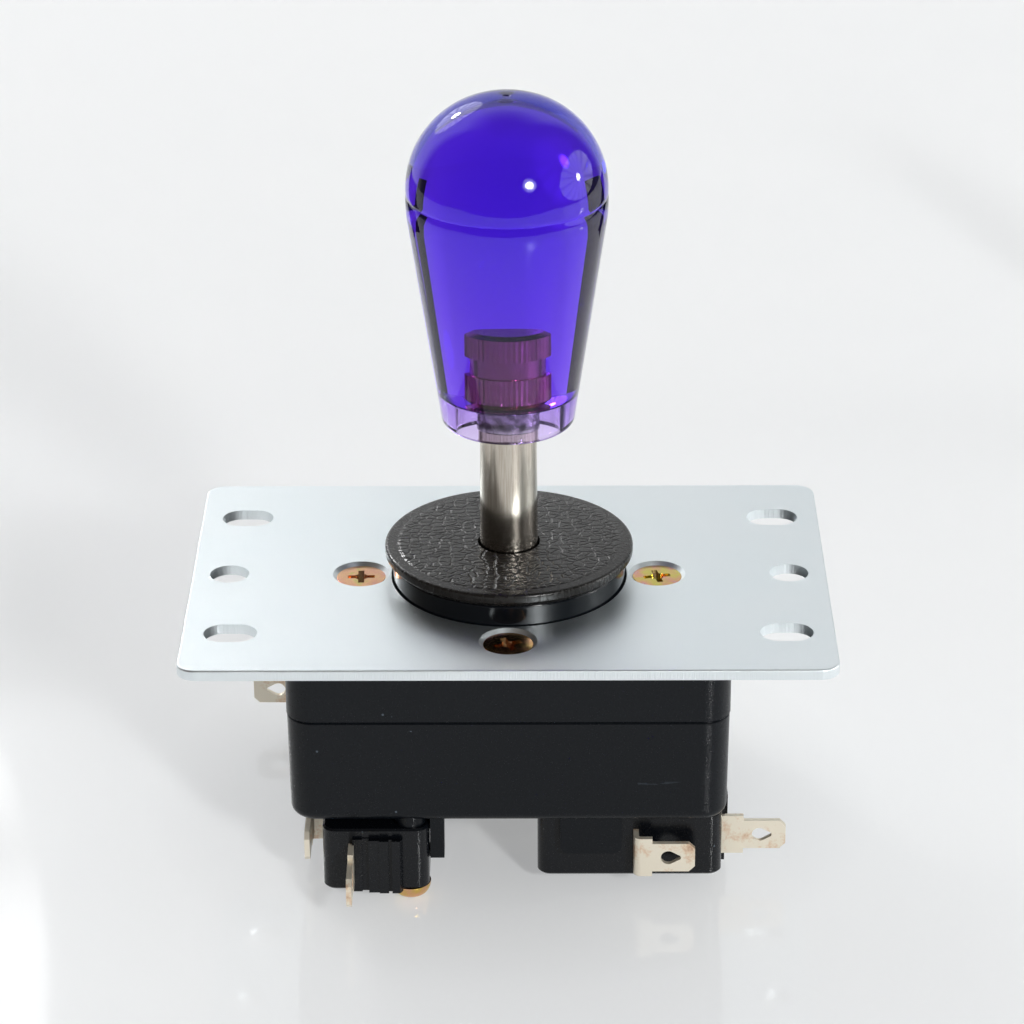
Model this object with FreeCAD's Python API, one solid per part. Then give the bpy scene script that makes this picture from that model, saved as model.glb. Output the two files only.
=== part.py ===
import FreeCAD, Part
import math
import os

# Arcade joystick lever: a square housing hung under a steel mounting plate, four
# microswitches in a pinwheel below it, and a sprung lever with a bat knob above.
# Millimetres. Origin at the centre of the plate's top face, +Z up towards the knob,
# +X along the plate, -Y towards the player.

# Mounting plate
plate_length = 97.5
plate_width = 64.5
plate_thick = 1.6
plate_corner_r = 3.0
plate_edge_r = 0.3
slot_end_inset = 7.25
slot_side_inset = 12.25
slot_length = 8.0
slot_width = 5.8
side_hole_inset = 5.75
side_hole_d = 6.0

# Screws through the plate, on the X and Y axes
plate_screw_circle_r = 22.75
plate_screw_d = 4.0
plate_screw_head_d = 7.6
plate_screw_drop = 0.5
plate_screw_reach = 20.0
plate_screw_bevel = 0.5
pillar_wall = 1.8
countersink_clearance = 0.04
shank_clearance = 0.2
thread_clearance = 0.05
cross_width = 0.95
cross_span = 4.3
cross_foot_span = 1.3
cross_depth = 1.5

# Housing outline
cover_x = 65.8
cover_y = 64.4
cover_height = 7.2
housing_step = 0.1
housing_draft = 0.2
housing_height = 16.9
housing_corner_r = 4.0
housing_bottom_r = 1.6
seam_chamfer = 0.25
wall = 2.4
inner_corner_r = 2.8
rib_web = 1.2
deck_thick = 2.6
floor_thick = 2.5
tongue_height = 1.2
tongue_thick = 1.0
tongue_clearance = 0.1

# Collar and dust washers
collar_r = 17.8
collar_height = 3.3
collar_wall = 2.2
collar_skirt_wall = 3.0
collar_flange = 0.9
collar_fit = 0.1
collar_gap = 0.3
collar_edge_r = 0.4
ledge_top_z = -1.0
ledge_bore_r = 9.5
washer_r = 18.98
washer_thick = 2.2
washer_land = 1.0
washer_relief_r = 12.4
washer_hole_clearance = 0.33
washer_edge_r = 0.5
washer_taper = 0.9
washer_lift = 0.1
lower_washer_r = 12.9
lower_washer_hole_r = 6.5
lower_washer_thick = 1.2

# Lever and its rubber mount
pivot_z = -10.0
tilt_limit_deg = 8.0
shaft_r = 4.45
shaft_top_r = 4.25
shaft_top_z = 26.5
shaft_shoulder_z = -3.0
shaft_core_r = 3.5
shaft_end_z = -38.0
shaft_chamfer = 0.6
stud_r = 3.0
stud_length = 12.5
fit_clearance = 0.03
bushing_r = 7.5
bushing_height = 14.5
bushing_edge_r = 0.8
grommet_gap = 0.3
grommet_flange_r = 17.2
grommet_flange_top_z = -9.1
grommet_flange_thick = 4.9
grommet_hub_r = 9.4
grommet_hub_top_z = -4.6
grommet_root_r = 11.4
seat_wall = 2.4
seat_ledge_r = 13.4
tube_r = 5.6
actuator_r = 6.9
actuator_height = 7.0
actuator_z = -32.0
clip_r = 5.0
clip_thick = 0.7
clip_groove_depth = 0.8
clip_mouth = 4.4

# Restrictor gate under the housing floor
gate_side = 24.0
gate_flange_side = 30.0
gate_flange_thick = 1.2
gate_height = 5.2
gate_fit = 0.2
gate_stop_clearance = 0.15
gate_corner_r = 4.0
gate_lead_in = 0.6
gate_hook = 0.6
gate_hook_width = 8.0
gate_hook_root = 1.0
gate_window_corner_r = 0.6

# Bat knob and its insert
knob_r = 14.95
knob_seam_z = 62.3
knob_cone_top_z = 59.6
knob_neck_r = 9.95
knob_bottom_z = 25.8
knob_edge_r = 1.0
knob_dimple_r = 0.7
knob_dimple_depth = 0.35
knob_recess_r = 7.3
knob_recess_depth = 4.9
insert_foot_r = 4.45
insert_knurl_r = 4.1
insert_waist_r = 3.6
insert_knurl_height = 4.9
insert_waist_height = 3.0
insert_roof = 3.8
insert_chamfer = 0.7
insert_seat = 0.02
knurl_count = 42
knurl_depth = 0.2
knurl_width = 0.4

# Microswitches, written for the front one: u runs along +X, v outwards along -Y
switch_u = 4.28
switch_length = 27.8
switch_v = 12.0
switch_depth = 15.9
switch_height = 10.3
switch_corner_r = 2.0
switch_edge_chamfer = 0.3
switch_cover_height = 3.7
switch_gap = 1.1
switch_wall = 1.4
screw_hole_in = 2.8
peg_hole_in = 2.8
switch_hole_r = 1.6
guard_reach = 1.2
guard_top_drop = 1.4
guard_seam_drop = 0.6
guard_steps = ((11.4, 0.5), (10.0, 0.5), (10.0, 0.2), (9.0, 0.2), (9.0, 0.8), (7.4, 0.8), (7.4, 1.0),
               (6.0, 1.0), (6.0, 0.5), (5.5, 0.5), (5.5, 1.0), (4.3, 1.0), (3.9, 0.4))

# Switch screws and the housing's features around the switches
switch_screw_d = 3.0
switch_screw_head_d = 6.0
switch_screw_head_height = 2.4
switch_screw_grip = 8.0
switch_screw_tip_gap = 1.0
blind_hole_extra = 0.5
boss_r = 3.3
pad_r = 2.3
peg_r = 1.45
peg_length = 10.4
tab_u = 7.7
tab_length = 9.2
tab_thick = 1.4
tab_clearance = 0.15
tab_drop = 6.8
tab_corner_r = 1.2
rib_end_in = 1.8
rib_length = 3.3
rib_v = 9.7
rib_thick = 2.1
rib_drop = 7.0

# Terminals
terminal_thick = 0.8
terminal_z = -32.4
blade_height = 4.75
blade_length = 6.4
blade_chamfer = 0.9
root_height = 6.4
end_terminal_v = 23.6
end_terminal_root = 3.4
side_terminal_u = 19.5
side_terminal_root = 2.8
side_terminal_reach = 2.6
side_terminal_bend_r = 1.1
terminal_inside = 4.0
terminal_slot_clearance = 0.05
eye_r = 1.12
eye_nose_r = 0.4
eye_nose_reach = 1.5
eye_centre = 2.4

# Switch lever, plunger and snap blade
lever_thick = 0.35
lever_width = 3.4
lever_gap = 0.25
hinge_u = 24.8
hinge_v = 11.2
knuckle_r = 0.6
trunnion_r = 0.45
trunnion_length = 5.2
trunnion_clearance = 0.2
lug_r = 1.25
lug_thick = 1.0
lug_gap = 0.2
lever_curl_u = 2.0
lever_curl_rise = 1.45
plunger_u = 14.0
plunger_r = 1.25
plunger_tip_r = 1.0
plunger_gap = 0.1
plunger_clearance = 0.1
plunger_length = 6.0
plunger_head_r = 1.9
plunger_head_thick = 0.8
blade_strip_thick = 0.2
blade_strip_width = 2.6
blade_strip_v = 18.2
blade_strip_rise = 1.0
blade_root_run = 2.0
blade_end_gap = 0.6

# Worked out from the sizes above
past = 1.0
round_share = 1 - math.sqrt(0.5)
tilt = math.radians(tilt_limit_deg)
slot_x = plate_length / 2 - slot_end_inset
slot_y = plate_width / 2 - slot_side_inset
side_hole_x = plate_length / 2 - side_hole_inset
pillar_r = plate_screw_d / 2 + pillar_wall
deck_under_z = -plate_thick - deck_thick
cover_top_z = -plate_thick
seam_z = cover_top_z - cover_height
housing_bottom_z = seam_z - housing_height
floor_top_z = housing_bottom_z + floor_thick
housing_x = cover_x - 2 * housing_step
housing_y = cover_y - 2 * housing_step
collar_bore_r = collar_r - collar_wall
collar_flange_r = collar_r + collar_flange
washer_under_z = collar_height + washer_lift
washer_top_z = washer_under_z + washer_thick
washer_hole_r = shaft_r + washer_hole_clearance
switch_top_z = housing_bottom_z - switch_gap
switch_seam_z = switch_top_z - switch_cover_height
switch_bottom_z = switch_top_z - switch_height
switch_end_u = switch_u + switch_length
switch_screw_top_z = housing_bottom_z + switch_screw_grip - switch_screw_tip_gap
switch_out_v = switch_v + switch_depth
screw_u = switch_end_u - screw_hole_in
screw_v = switch_v + screw_hole_in
peg_u = switch_u + peg_hole_in
peg_v = switch_out_v - peg_hole_in
grommet_bottom_z = grommet_flange_top_z - grommet_flange_thick
seat_r = grommet_flange_r + grommet_gap
seat_ledge_z = grommet_bottom_z - grommet_gap
bushing_bottom_z = shaft_shoulder_z - bushing_height
actuator_top_z = actuator_z + actuator_height / 2
actuator_bottom_z = actuator_z - actuator_height / 2
gate_depth = pivot_z - housing_bottom_z
gate_half = tube_r / math.cos(tilt) + gate_depth * math.tan(tilt) + gate_stop_clearance
recess_top_z = knob_bottom_z + knob_recess_depth
lever_apex_v = actuator_r + lever_gap + lever_thick / 2
lever_foot_v = lever_apex_v + lever_curl_rise
lever_angle = math.atan2(hinge_v - lever_foot_v, hinge_u - lever_curl_u)
plunger_tip_v = hinge_v - (hinge_u - plunger_u) * math.tan(lever_angle)
plunger_tip_v += lever_thick / 2 / math.cos(lever_angle) + plunger_gap
stations = ("front", "right", "back", "left")


def block(x0, x1, y0, y1, z0, z1):
    """A box between two corners."""
    return Part.makeBox(x1 - x0, y1 - y0, z1 - z0, FreeCAD.Vector(x0, y0, z0))


def disc(r, z0, z1, x=0.0, y=0.0):
    """An upright cylinder between two heights."""
    return Part.makeCylinder(r, z1 - z0, FreeCAD.Vector(x, y, z0))


def taper(r0, r1, z0, z1, x=0.0, y=0.0):
    """An upright cone from radius r0 at z0 to r1 at z1."""
    return Part.makeCone(r0, r1, z1 - z0, FreeCAD.Vector(x, y, z0))


def ring(outer_r, inner_r, z0, z1):
    """A tube wall about the Z axis."""
    return disc(outer_r, z0, z1).cut(disc(inner_r, z0 - past, z1 + past))


def turned(points):
    """A solid turned about Z from (radius, height) points."""
    corners = [FreeCAD.Vector(r, 0, z) for r, z in points]
    face = Part.Face(Part.makePolygon(corners + corners[:1]))
    return face.revolve(FreeCAD.Vector(0, 0, 0), FreeCAD.Vector(0, 0, 1), 360)


def rounded_outline(lx, ly, r, z, x=0.0, y=0.0):
    """A closed rectangle with round corners at height z."""
    hx, hy = lx / 2, ly / 2
    s = r * round_share
    edges = []
    for sx, sy in ((1, -1), (1, 1), (-1, 1), (-1, -1)):
        a = FreeCAD.Vector(x + sx * (hx - r), y + sy * hy, z)
        m = FreeCAD.Vector(x + sx * (hx - s), y + sy * (hy - s), z)
        b = FreeCAD.Vector(x + sx * hx, y + sy * (hy - r), z)
        ends = (a, m, b) if sx * sy < 0 else (b, m, a)
        edges.append(Part.Arc(*ends).toShape())
    sides = []
    for here, after in zip(edges, edges[1:] + edges[:1]):
        start = here.Vertexes[-1].Point
        end = after.Vertexes[0].Point
        sides.append(here)
        if start.distanceToPoint(end) > 1e-6:
            sides.append(Part.makeLine(start, end))
    return Part.Wire(sides)


def rounded_block(lx, ly, r, z0, z1, x=0.0, y=0.0):
    """A block with round vertical edges."""
    face = Part.Face(rounded_outline(lx, ly, r, z0, x, y))
    return face.extrude(FreeCAD.Vector(0, 0, z1 - z0))


def plan(points, z0, z1):
    """A prism over (x, y) points."""
    corners = [FreeCAD.Vector(x, y, z0) for x, y in points]
    face = Part.Face(Part.makePolygon(corners + corners[:1]))
    return face.extrude(FreeCAD.Vector(0, 0, z1 - z0))


def joined(first, others):
    """One solid from pieces that touch."""
    return first.fuse(list(others)).removeSplitter()


def without(shape, cutters):
    """The shape less all cutters."""
    return shape.cut(Part.makeCompound(list(cutters)))


def level_edges(shape, z):
    """The edges that lie wholly at height z."""
    found = []
    for edge in shape.Edges:
        low, high = edge.BoundBox.ZMin, edge.BoundBox.ZMax
        if abs(low - z) < 1e-4 and abs(high - z) < 1e-4:
            found.append(edge)
    return found


def at_station(shape, number):
    """The front switch's piece turned round to switch 0 to 3."""
    turned_shape = shape.copy()
    turned_shape.rotate(FreeCAD.Vector(0, 0, 0), FreeCAD.Vector(0, 0, 1), 90 * number)
    return turned_shape


def around(shape):
    """The piece at all four switches."""
    return [at_station(shape, n) for n in range(4)]


def quarter_points(r):
    """Four points on the X and Y axes."""
    return [(r, 0), (0, r), (-r, 0), (0, -r)]


def at_front(u0, u1, v0, v1, z0, z1):
    """A box in the front switch's u and v."""
    return block(u0, u1, -v1, -v0, z0, z1)


def mounting_plate():
    """The steel plate with its slots, holes and countersinks."""
    plate = rounded_block(plate_length, plate_width, plate_corner_r, -plate_thick, 0)
    plate = plate.makeFillet(plate_edge_r, level_edges(plate, 0))
    low = -plate_thick - past
    cutters = [disc(collar_r + collar_gap, low, past)]
    for sx in (-1, 1):
        cutters.append(disc(side_hole_d / 2, low, past, sx * side_hole_x))
        for sy in (-1, 1):
            radius = slot_width / 2 - 1e-4
            cutters.append(rounded_block(slot_length, slot_width, radius, low, past,
                                         sx * slot_x, sy * slot_y))
    for x, y in quarter_points(plate_screw_circle_r):
        cutters.append(countersink(x, y))
    return without(plate, cutters)


def countersink(x, y):
    """The 90 degree sink for a plate screw, with the clearance hole below it."""
    head_r = plate_screw_head_d / 2 + countersink_clearance
    top_r = head_r + plate_screw_drop
    hole_r = plate_screw_d / 2 + shank_clearance
    sink = taper(hole_r, top_r, hole_r - top_r, 0, x, y)
    return sink.fuse(disc(hole_r, seam_z - past, hole_r - top_r, x, y))


def plate_screw():
    """A countersunk machine screw with a cross recess, under the origin."""
    head_r = plate_screw_head_d / 2
    shank_r = plate_screw_d / 2
    top = -plate_screw_drop
    tip = -plate_screw_reach
    bevel = plate_screw_bevel
    profile = [(0, top), (head_r, top), (shank_r, top - (head_r - shank_r))]
    profile += [(shank_r, tip + bevel), (shank_r - bevel, tip), (0, tip)]
    screw = turned(profile)
    return screw.cut(cross_recess().translated(FreeCAD.Vector(0, 0, top)))


def cross_recess():
    """A cross recess that narrows downwards from z = 0."""
    arms = []
    for angle in (0, 90):
        half, span, foot = cross_width / 2, cross_span / 2, cross_foot_span / 2
        outline = [(-span, 0), (span, 0), (foot, -cross_depth), (-foot, -cross_depth)]
        corners = [FreeCAD.Vector(x, -half, z) for x, z in outline]
        face = Part.Face(Part.makePolygon(corners + corners[:1]))
        arm = face.extrude(FreeCAD.Vector(0, cross_width, 0))
        arm.rotate(FreeCAD.Vector(0, 0, 0), FreeCAD.Vector(0, 0, 1), angle)
        arms.append(arm)
    return arms[0].fuse(arms[1])


def top_cover():
    """The moulded cover under the plate, with its skirt, pillars and ribs."""
    body = rounded_block(cover_x, cover_y, housing_corner_r, seam_z, cover_top_z)
    body = body.makeChamfer(seam_chamfer, level_edges(body, seam_z))
    low = seam_z - past
    hollow = rounded_block(cover_x - 2 * wall, cover_y - 2 * wall, inner_corner_r, low, deck_under_z)
    rebate_in = wall - tongue_thick - tongue_clearance
    rebate = rounded_block(cover_x - 2 * rebate_in, cover_y - 2 * rebate_in, inner_corner_r,
                           low, seam_z + tongue_height + tongue_clearance)
    shell = without(body, [hollow, rebate])
    added = [disc(pillar_r, seam_z, deck_under_z, x, y) for x, y in quarter_points(plate_screw_circle_r)]
    cover = joined(shell, added + cover_ribs())
    cutters = [disc(collar_r + collar_fit, low, past)]
    for x, y in quarter_points(plate_screw_circle_r):
        cutters.append(countersink(x, y))
    return without(cover, cutters)


def cover_ribs():
    """Thin webs from the pillars to the cover's walls."""
    webs = []
    half = rib_web / 2
    inner = plate_screw_circle_r
    low = seam_z + tongue_height + 2 * tongue_clearance
    for sign in (-1, 1):
        x0, x1 = sorted((sign * inner, sign * (cover_x / 2 - wall / 2)))
        y0, y1 = sorted((sign * inner, sign * (cover_y / 2 - wall / 2)))
        webs.append(block(x0, x1, -half, half, low, deck_under_z))
        webs.append(block(-half, half, y0, y1, low, deck_under_z))
    return webs


def collar():
    """The collar that rises through the plate, held by its flange under the cover's deck."""
    tube = disc(collar_r, seam_z + collar_fit, collar_height)
    tube = tube.makeFillet(collar_edge_r, level_edges(tube, collar_height))
    tube = joined(tube, [disc(collar_flange_r, seam_z + collar_fit, deck_under_z - collar_fit)])
    cutters = [disc(collar_bore_r, ledge_top_z, collar_height + past)]
    cutters.append(disc(ledge_bore_r, seam_z - past, collar_height))
    cutters.append(disc(collar_r - collar_skirt_wall, seam_z - past, deck_under_z))
    return without(tube, cutters)


def housing_body():
    """The housing's outer form: drafted sides, round corners and a round lower edge."""
    d = housing_draft
    body = Part.makeWedge(0, 0, 0, d, d, housing_x, housing_height, housing_y, housing_y - d, housing_x - d)
    body.rotate(FreeCAD.Vector(0, 0, 0), FreeCAD.Vector(1, 0, 0), -90)
    body.translate(FreeCAD.Vector(-housing_x / 2, -housing_y / 2, seam_z))
    upright = [edge for edge in body.Edges if edge.BoundBox.ZLength > housing_height / 2]
    body = body.makeFillet(housing_corner_r, upright)
    body = body.makeFillet(housing_bottom_r, level_edges(body, housing_bottom_z))
    return body.makeChamfer(seam_chamfer, level_edges(body, seam_z))


def lower_housing():
    """The moulded housing with the grommet's seat, the floor and what holds the switches."""
    body = housing_body()
    inner_x = housing_x - 2 * housing_draft - 2 * wall
    inner_y = housing_y - 2 * housing_draft - 2 * wall
    shell = body.cut(rounded_block(inner_x, inner_y, inner_corner_r, floor_top_z, seam_z + past))
    inside = [disc(seat_r + seat_wall, floor_top_z, seam_z)]
    for x, y in quarter_points(plate_screw_circle_r):
        inside.append(disc(pillar_r, floor_top_z, seam_z, x, y))
    inside += housing_webs()
    boss_top = housing_bottom_z + switch_screw_grip
    inside += around(disc(boss_r, floor_top_z, boss_top, screw_u, -screw_v))
    core = inside[0].multiFuse(inside[1:]).common(body)
    housing = joined(shell, [core, tongue(inner_x, inner_y)] + switch_supports())
    cutters = [disc(seat_r, seat_ledge_z, seam_z + past)]
    cutters.append(disc(seat_ledge_r, floor_top_z, seam_z))
    cutters.append(square_hole(gate_side + gate_fit, housing_bottom_z + gate_height + gate_fit))
    cutters.append(square_hole(gate_flange_side + gate_fit, housing_bottom_z + gate_flange_thick))
    for x, y in quarter_points(plate_screw_circle_r):
        hole_r = plate_screw_d / 2 + thread_clearance
        cutters.append(disc(hole_r, -plate_screw_reach - past, seam_z + past, x, y))
    hole_r = switch_screw_d / 2 + thread_clearance
    hole_top = switch_screw_top_z + blind_hole_extra
    cutters += around(disc(hole_r, switch_top_z - past, hole_top, screw_u, -screw_v))
    return without(housing, cutters)


def switch_supports():
    """Under the floor: the pads, pegs, tabs and posts that place the switches."""
    sunk = housing_bottom_z + floor_thick / 2
    pieces = []
    for u, v in ((screw_u, screw_v), (peg_u, peg_v)):
        pieces += around(disc(pad_r, switch_top_z, sunk, u, -v))
    pieces += around(disc(peg_r, switch_top_z - peg_length, sunk, peg_u, -peg_v))
    pieces += around(front_tab())
    pieces += around(inner_rib())
    return pieces


def tongue(inner_x, inner_y):
    """The rim that stands up inside the cover's skirt."""
    outer_in = wall - tongue_thick
    high = seam_z + tongue_height
    low = seam_z - tongue_height
    rim = rounded_block(cover_x - 2 * outer_in, cover_y - 2 * outer_in, inner_corner_r, low, high)
    return rim.cut(rounded_block(inner_x, inner_y, inner_corner_r, low - past, high + past))


def housing_webs():
    """Webs that tie the seat and pillars to the housing's walls."""
    webs = []
    half = rib_web / 2
    start = seat_r + seat_wall / 2
    for sign in (-1, 1):
        x0, x1 = sorted((sign * start, sign * (housing_x / 2 - wall / 2)))
        y0, y1 = sorted((sign * start, sign * (housing_y / 2 - wall / 2)))
        webs.append(block(x0, x1, -half, half, floor_top_z, seam_z))
        webs.append(block(-half, half, y0, y1, floor_top_z, seam_z))
    return webs


def square_hole(side, top_z):
    """A square cutter up from under the housing."""
    return rounded_block(side, side, gate_window_corner_r, housing_bottom_z - past, top_z)


def front_tab():
    """The thin moulded tab that stands in front of a switch."""
    v0 = switch_out_v + tab_clearance
    low = housing_bottom_z - tab_drop
    high = housing_bottom_z + floor_thick / 2
    tab = at_front(tab_u, tab_u + tab_length, v0, v0 + tab_thick, low, high)
    corners = []
    for edge in tab.Edges:
        box = edge.BoundBox
        if box.YLength > tab_thick / 2 and box.ZMax < low + tab_corner_r / 2:
            corners.append(edge)
    return tab.makeFillet(tab_corner_r, corners)


def inner_rib():
    """The moulded post between a switch's far end and its neighbour."""
    u1 = switch_end_u - rib_end_in
    low = housing_bottom_z - rib_drop
    high = housing_bottom_z + floor_thick / 2
    return at_front(u1 - rib_length, u1, rib_v, rib_v + rib_thick, low, high)


def restrictor_gate():
    """The snap-in gate whose square window stops the lever."""
    flange_top_z = housing_bottom_z + gate_flange_thick
    low, high = housing_bottom_z, housing_bottom_z + gate_height
    gate = rounded_block(gate_flange_side, gate_flange_side, gate_window_corner_r, low, flange_top_z)
    sleeve = rounded_block(gate_side, gate_side, gate_window_corner_r, low, high)
    hooks = []
    hook_z = floor_top_z + gate_fit / 2
    reach = gate_side / 2
    root = reach - gate_hook_root
    for sign in (-1, 1):
        outline = [(root, hook_z), (reach + gate_hook, hook_z), (reach, hook_z + 2 * gate_hook)]
        outline.append((root, hook_z + 2 * gate_hook))
        corners = [FreeCAD.Vector(sign * x, -gate_hook_width / 2, z) for x, z in outline]
        face = Part.Face(Part.makePolygon(corners + corners[:1]))
        hooks.append(face.extrude(FreeCAD.Vector(0, gate_hook_width, 0)))
    gate = joined(gate, [sleeve] + hooks)
    side = 2 * gate_half
    window = rounded_block(side, side, gate_corner_r, low - past, high + past)
    wide = side + 2 * gate_lead_in
    mouth = rounded_outline(wide, wide, gate_corner_r + gate_lead_in, high)
    throat = rounded_outline(side, side, gate_corner_r, high - gate_lead_in)
    return without(gate, [window, Part.makeLoft([throat, mouth], True, True)])


def tension_grommet():
    """The thick rubber mount that centres the lever."""
    bore_r = bushing_r + grommet_gap
    low = grommet_bottom_z
    root = seat_ledge_r - grommet_gap
    profile = [(bore_r, grommet_hub_top_z), (grommet_hub_r, grommet_hub_top_z)]
    profile += [(grommet_root_r, grommet_flange_top_z), (grommet_flange_r, grommet_flange_top_z)]
    profile += [(grommet_flange_r, low), (root, low)]
    profile += [(grommet_hub_r, low - grommet_flange_thick / 2), (bore_r, low - grommet_flange_thick / 2)]
    return turned(profile)


def pivot_bushing():
    """The nylon bushing that the rubber grips."""
    bore_r = shaft_core_r + fit_clearance
    low, high, e = bushing_bottom_z, shaft_shoulder_z, bushing_edge_r
    profile = [(bore_r, high), (bushing_r - e, high), (bushing_r, high - e)]
    profile += [(bushing_r, low + e), (bushing_r - e, low), (bore_r, low)]
    return turned(profile)


def spacer_tube():
    """The tube between the bushing and the actuator, which meets the gate."""
    return ring(tube_r, shaft_core_r + fit_clearance, actuator_top_z, bushing_bottom_z)


def actuator():
    """The barrel that presses the switch levers."""
    ball = Part.makeSphere(actuator_r, FreeCAD.Vector(0, 0, actuator_z))
    barrel = ball.common(disc(actuator_r + past, actuator_bottom_z, actuator_top_z))
    bore = disc(shaft_core_r + fit_clearance, actuator_bottom_z - past, actuator_top_z + past)
    return barrel.cut(bore)


def retaining_clip():
    """The open clip in the groove at the lever's foot."""
    top = actuator_bottom_z
    low = top - clip_thick
    bore_r = shaft_core_r - clip_groove_depth + fit_clearance
    clip = disc(clip_r, low, top).cut(disc(bore_r, low - past, top + past))
    mouth = block(-clip_mouth / 2, clip_mouth / 2, 0, clip_r + past, low - past, top + past)
    return clip.cut(mouth)


def shaft():
    """The turned steel shaft with its stud, shoulder and clip groove."""
    c = shaft_chamfer
    groove_r = shaft_core_r - clip_groove_depth
    groove_top = actuator_bottom_z
    groove_low = groove_top - clip_thick - 2 * fit_clearance
    profile = [(0, shaft_top_z + stud_length), (stud_r - c, shaft_top_z + stud_length)]
    profile += [(stud_r, shaft_top_z + stud_length - c), (stud_r, shaft_top_z)]
    profile += [(shaft_top_r, shaft_top_z), (shaft_r, washer_top_z), (shaft_r, shaft_shoulder_z)]
    profile += [(shaft_core_r, shaft_shoulder_z), (shaft_core_r, groove_top), (groove_r, groove_top)]
    profile += [(groove_r, groove_low), (shaft_core_r, groove_low)]
    profile += [(shaft_core_r, shaft_end_z + c), (shaft_core_r - c, shaft_end_z), (0, shaft_end_z)]
    return turned(profile)


def insert_steps(grow):
    """The insert's (radius, height) steps above the recess, grown for its seat."""
    z1 = recess_top_z + insert_knurl_height
    z2 = z1 + insert_waist_height
    z4 = shaft_top_z + stud_length + insert_roof
    wide, waist, c = insert_knurl_r + grow, insert_waist_r + grow, insert_chamfer
    steps = [(wide - c, recess_top_z), (wide, recess_top_z + c), (wide, z1 + grow), (waist, z1 + grow)]
    steps += [(waist, z2 - grow), (wide, z2 - grow), (wide, z4 - c + grow), (wide - c, z4 + grow)]
    return steps


def knob_insert():
    """The knurled brass insert that the knob is moulded round."""
    steps = insert_steps(0)
    low_z, waist_z, high_z, top_z = steps[0][1], steps[2][1], steps[4][1], steps[-1][1]
    profile = [(0, shaft_top_z), (insert_foot_r, shaft_top_z), (insert_foot_r, recess_top_z)]
    insert = turned(profile + steps + [(0, top_z)])
    bore_top = shaft_top_z + stud_length + shaft_chamfer
    insert = insert.cut(disc(stud_r + fit_clearance, shaft_top_z - past, bore_top))
    grooves = []
    for number in range(knurl_count):
        angle = 360 * number / knurl_count
        groove = knurl_groove(low_z, waist_z).fuse(knurl_groove(high_z, top_z))
        groove.rotate(FreeCAD.Vector(0, 0, 0), FreeCAD.Vector(0, 0, 1), angle)
        grooves.append(groove)
    return without(insert, grooves)


def knurl_groove(z0, z1):
    """A V groove along the insert's side, which runs out past the knurl's round."""
    half, outer = knurl_width, insert_knurl_r + knurl_depth
    return plan([(insert_knurl_r - knurl_depth, 0), (outer, -half), (outer, half)], z0, z1)


def bat_knob():
    """The solid acrylic knob: a dome on a straight cone, hollow only at its foot."""
    top_z = knob_seam_z + knob_r
    cone_run = math.hypot(knob_cone_top_z - knob_bottom_z, knob_r - knob_neck_r)
    slope = FreeCAD.Vector(knob_r - knob_neck_r, 0, knob_cone_top_z - knob_bottom_z) * (1 / cone_run)
    edge = knob_edge_r
    foot = FreeCAD.Vector(knob_neck_r, 0, knob_bottom_z)
    rise = foot + slope * edge
    inward = foot - FreeCAD.Vector(edge, 0, 0)
    bulge = foot + (slope - FreeCAD.Vector(1, 0, 0)) * (edge * round_share)
    shoulder = FreeCAD.Vector(knob_r, 0, knob_cone_top_z)
    equator = FreeCAD.Vector(knob_r, 0, knob_seam_z)
    diagonal = knob_r * math.sqrt(0.5)
    dome_mid = FreeCAD.Vector(diagonal, 0, knob_seam_z + diagonal)
    crown = FreeCAD.Vector(0, 0, top_z)
    base = FreeCAD.Vector(0, 0, knob_bottom_z)
    sides = [Part.makeLine(base, inward), Part.Arc(inward, bulge, rise).toShape()]
    sides += [Part.makeLine(rise, shoulder), Part.makeLine(shoulder, equator)]
    sides += [Part.Arc(equator, dome_mid, crown).toShape(), Part.makeLine(crown, base)]
    face = Part.Face(Part.Wire(sides))
    knob = face.revolve(FreeCAD.Vector(0, 0, 0), FreeCAD.Vector(0, 0, 1), 360)
    steps = insert_steps(insert_seat)
    seat = turned([(0, recess_top_z)] + steps + [(0, steps[-1][1])])
    recess = disc(knob_recess_r, knob_bottom_z - past, recess_top_z)
    ball_r = (knob_dimple_r ** 2 + knob_dimple_depth ** 2) / (2 * knob_dimple_depth)
    dimple = Part.makeSphere(ball_r, FreeCAD.Vector(0, 0, top_z - knob_dimple_depth + ball_r))
    return without(knob, [recess.fuse(seat), dimple])


def dust_washer():
    """The floating washer on the collar, thinned inside and bevelled below."""
    r, hole = washer_r, washer_hole_r
    top, low = washer_top_z, washer_under_z
    e = washer_edge_r
    bulge = e * round_share
    profile = [(hole, top), (r - e, top), (r - bulge, top - bulge), (r, top - e)]
    profile += [(r, low + washer_taper), (r - washer_taper, low), (washer_relief_r, low)]
    profile += [(washer_relief_r, top - washer_land), (hole, top - washer_land)]
    return turned(profile)


def lower_dust_washer():
    """The plain inner washer on the ledge inside the collar."""
    low = ledge_top_z + washer_lift
    return ring(lower_washer_r, lower_washer_hole_r, low, low + lower_washer_thick)


def switch_outline(z0, z1):
    """A switch body's rounded block in plan."""
    u = switch_u + switch_length / 2
    v = switch_v + switch_depth / 2
    return rounded_block(switch_length, switch_depth, switch_corner_r, z0, z1, u, -v)


def guard(z0, z1):
    """The guard on a switch's end face, whose steps are (distance out, share of the reach)."""
    u = switch_end_u - switch_wall
    outline = [(switch_end_u + share * guard_reach, -switch_v - v) for v, share in guard_steps]
    ends = [(u, outline[0][1]), (u, outline[-1][1])]
    return plan(ends[:1] + outline + ends[1:], z0, z1)


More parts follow.
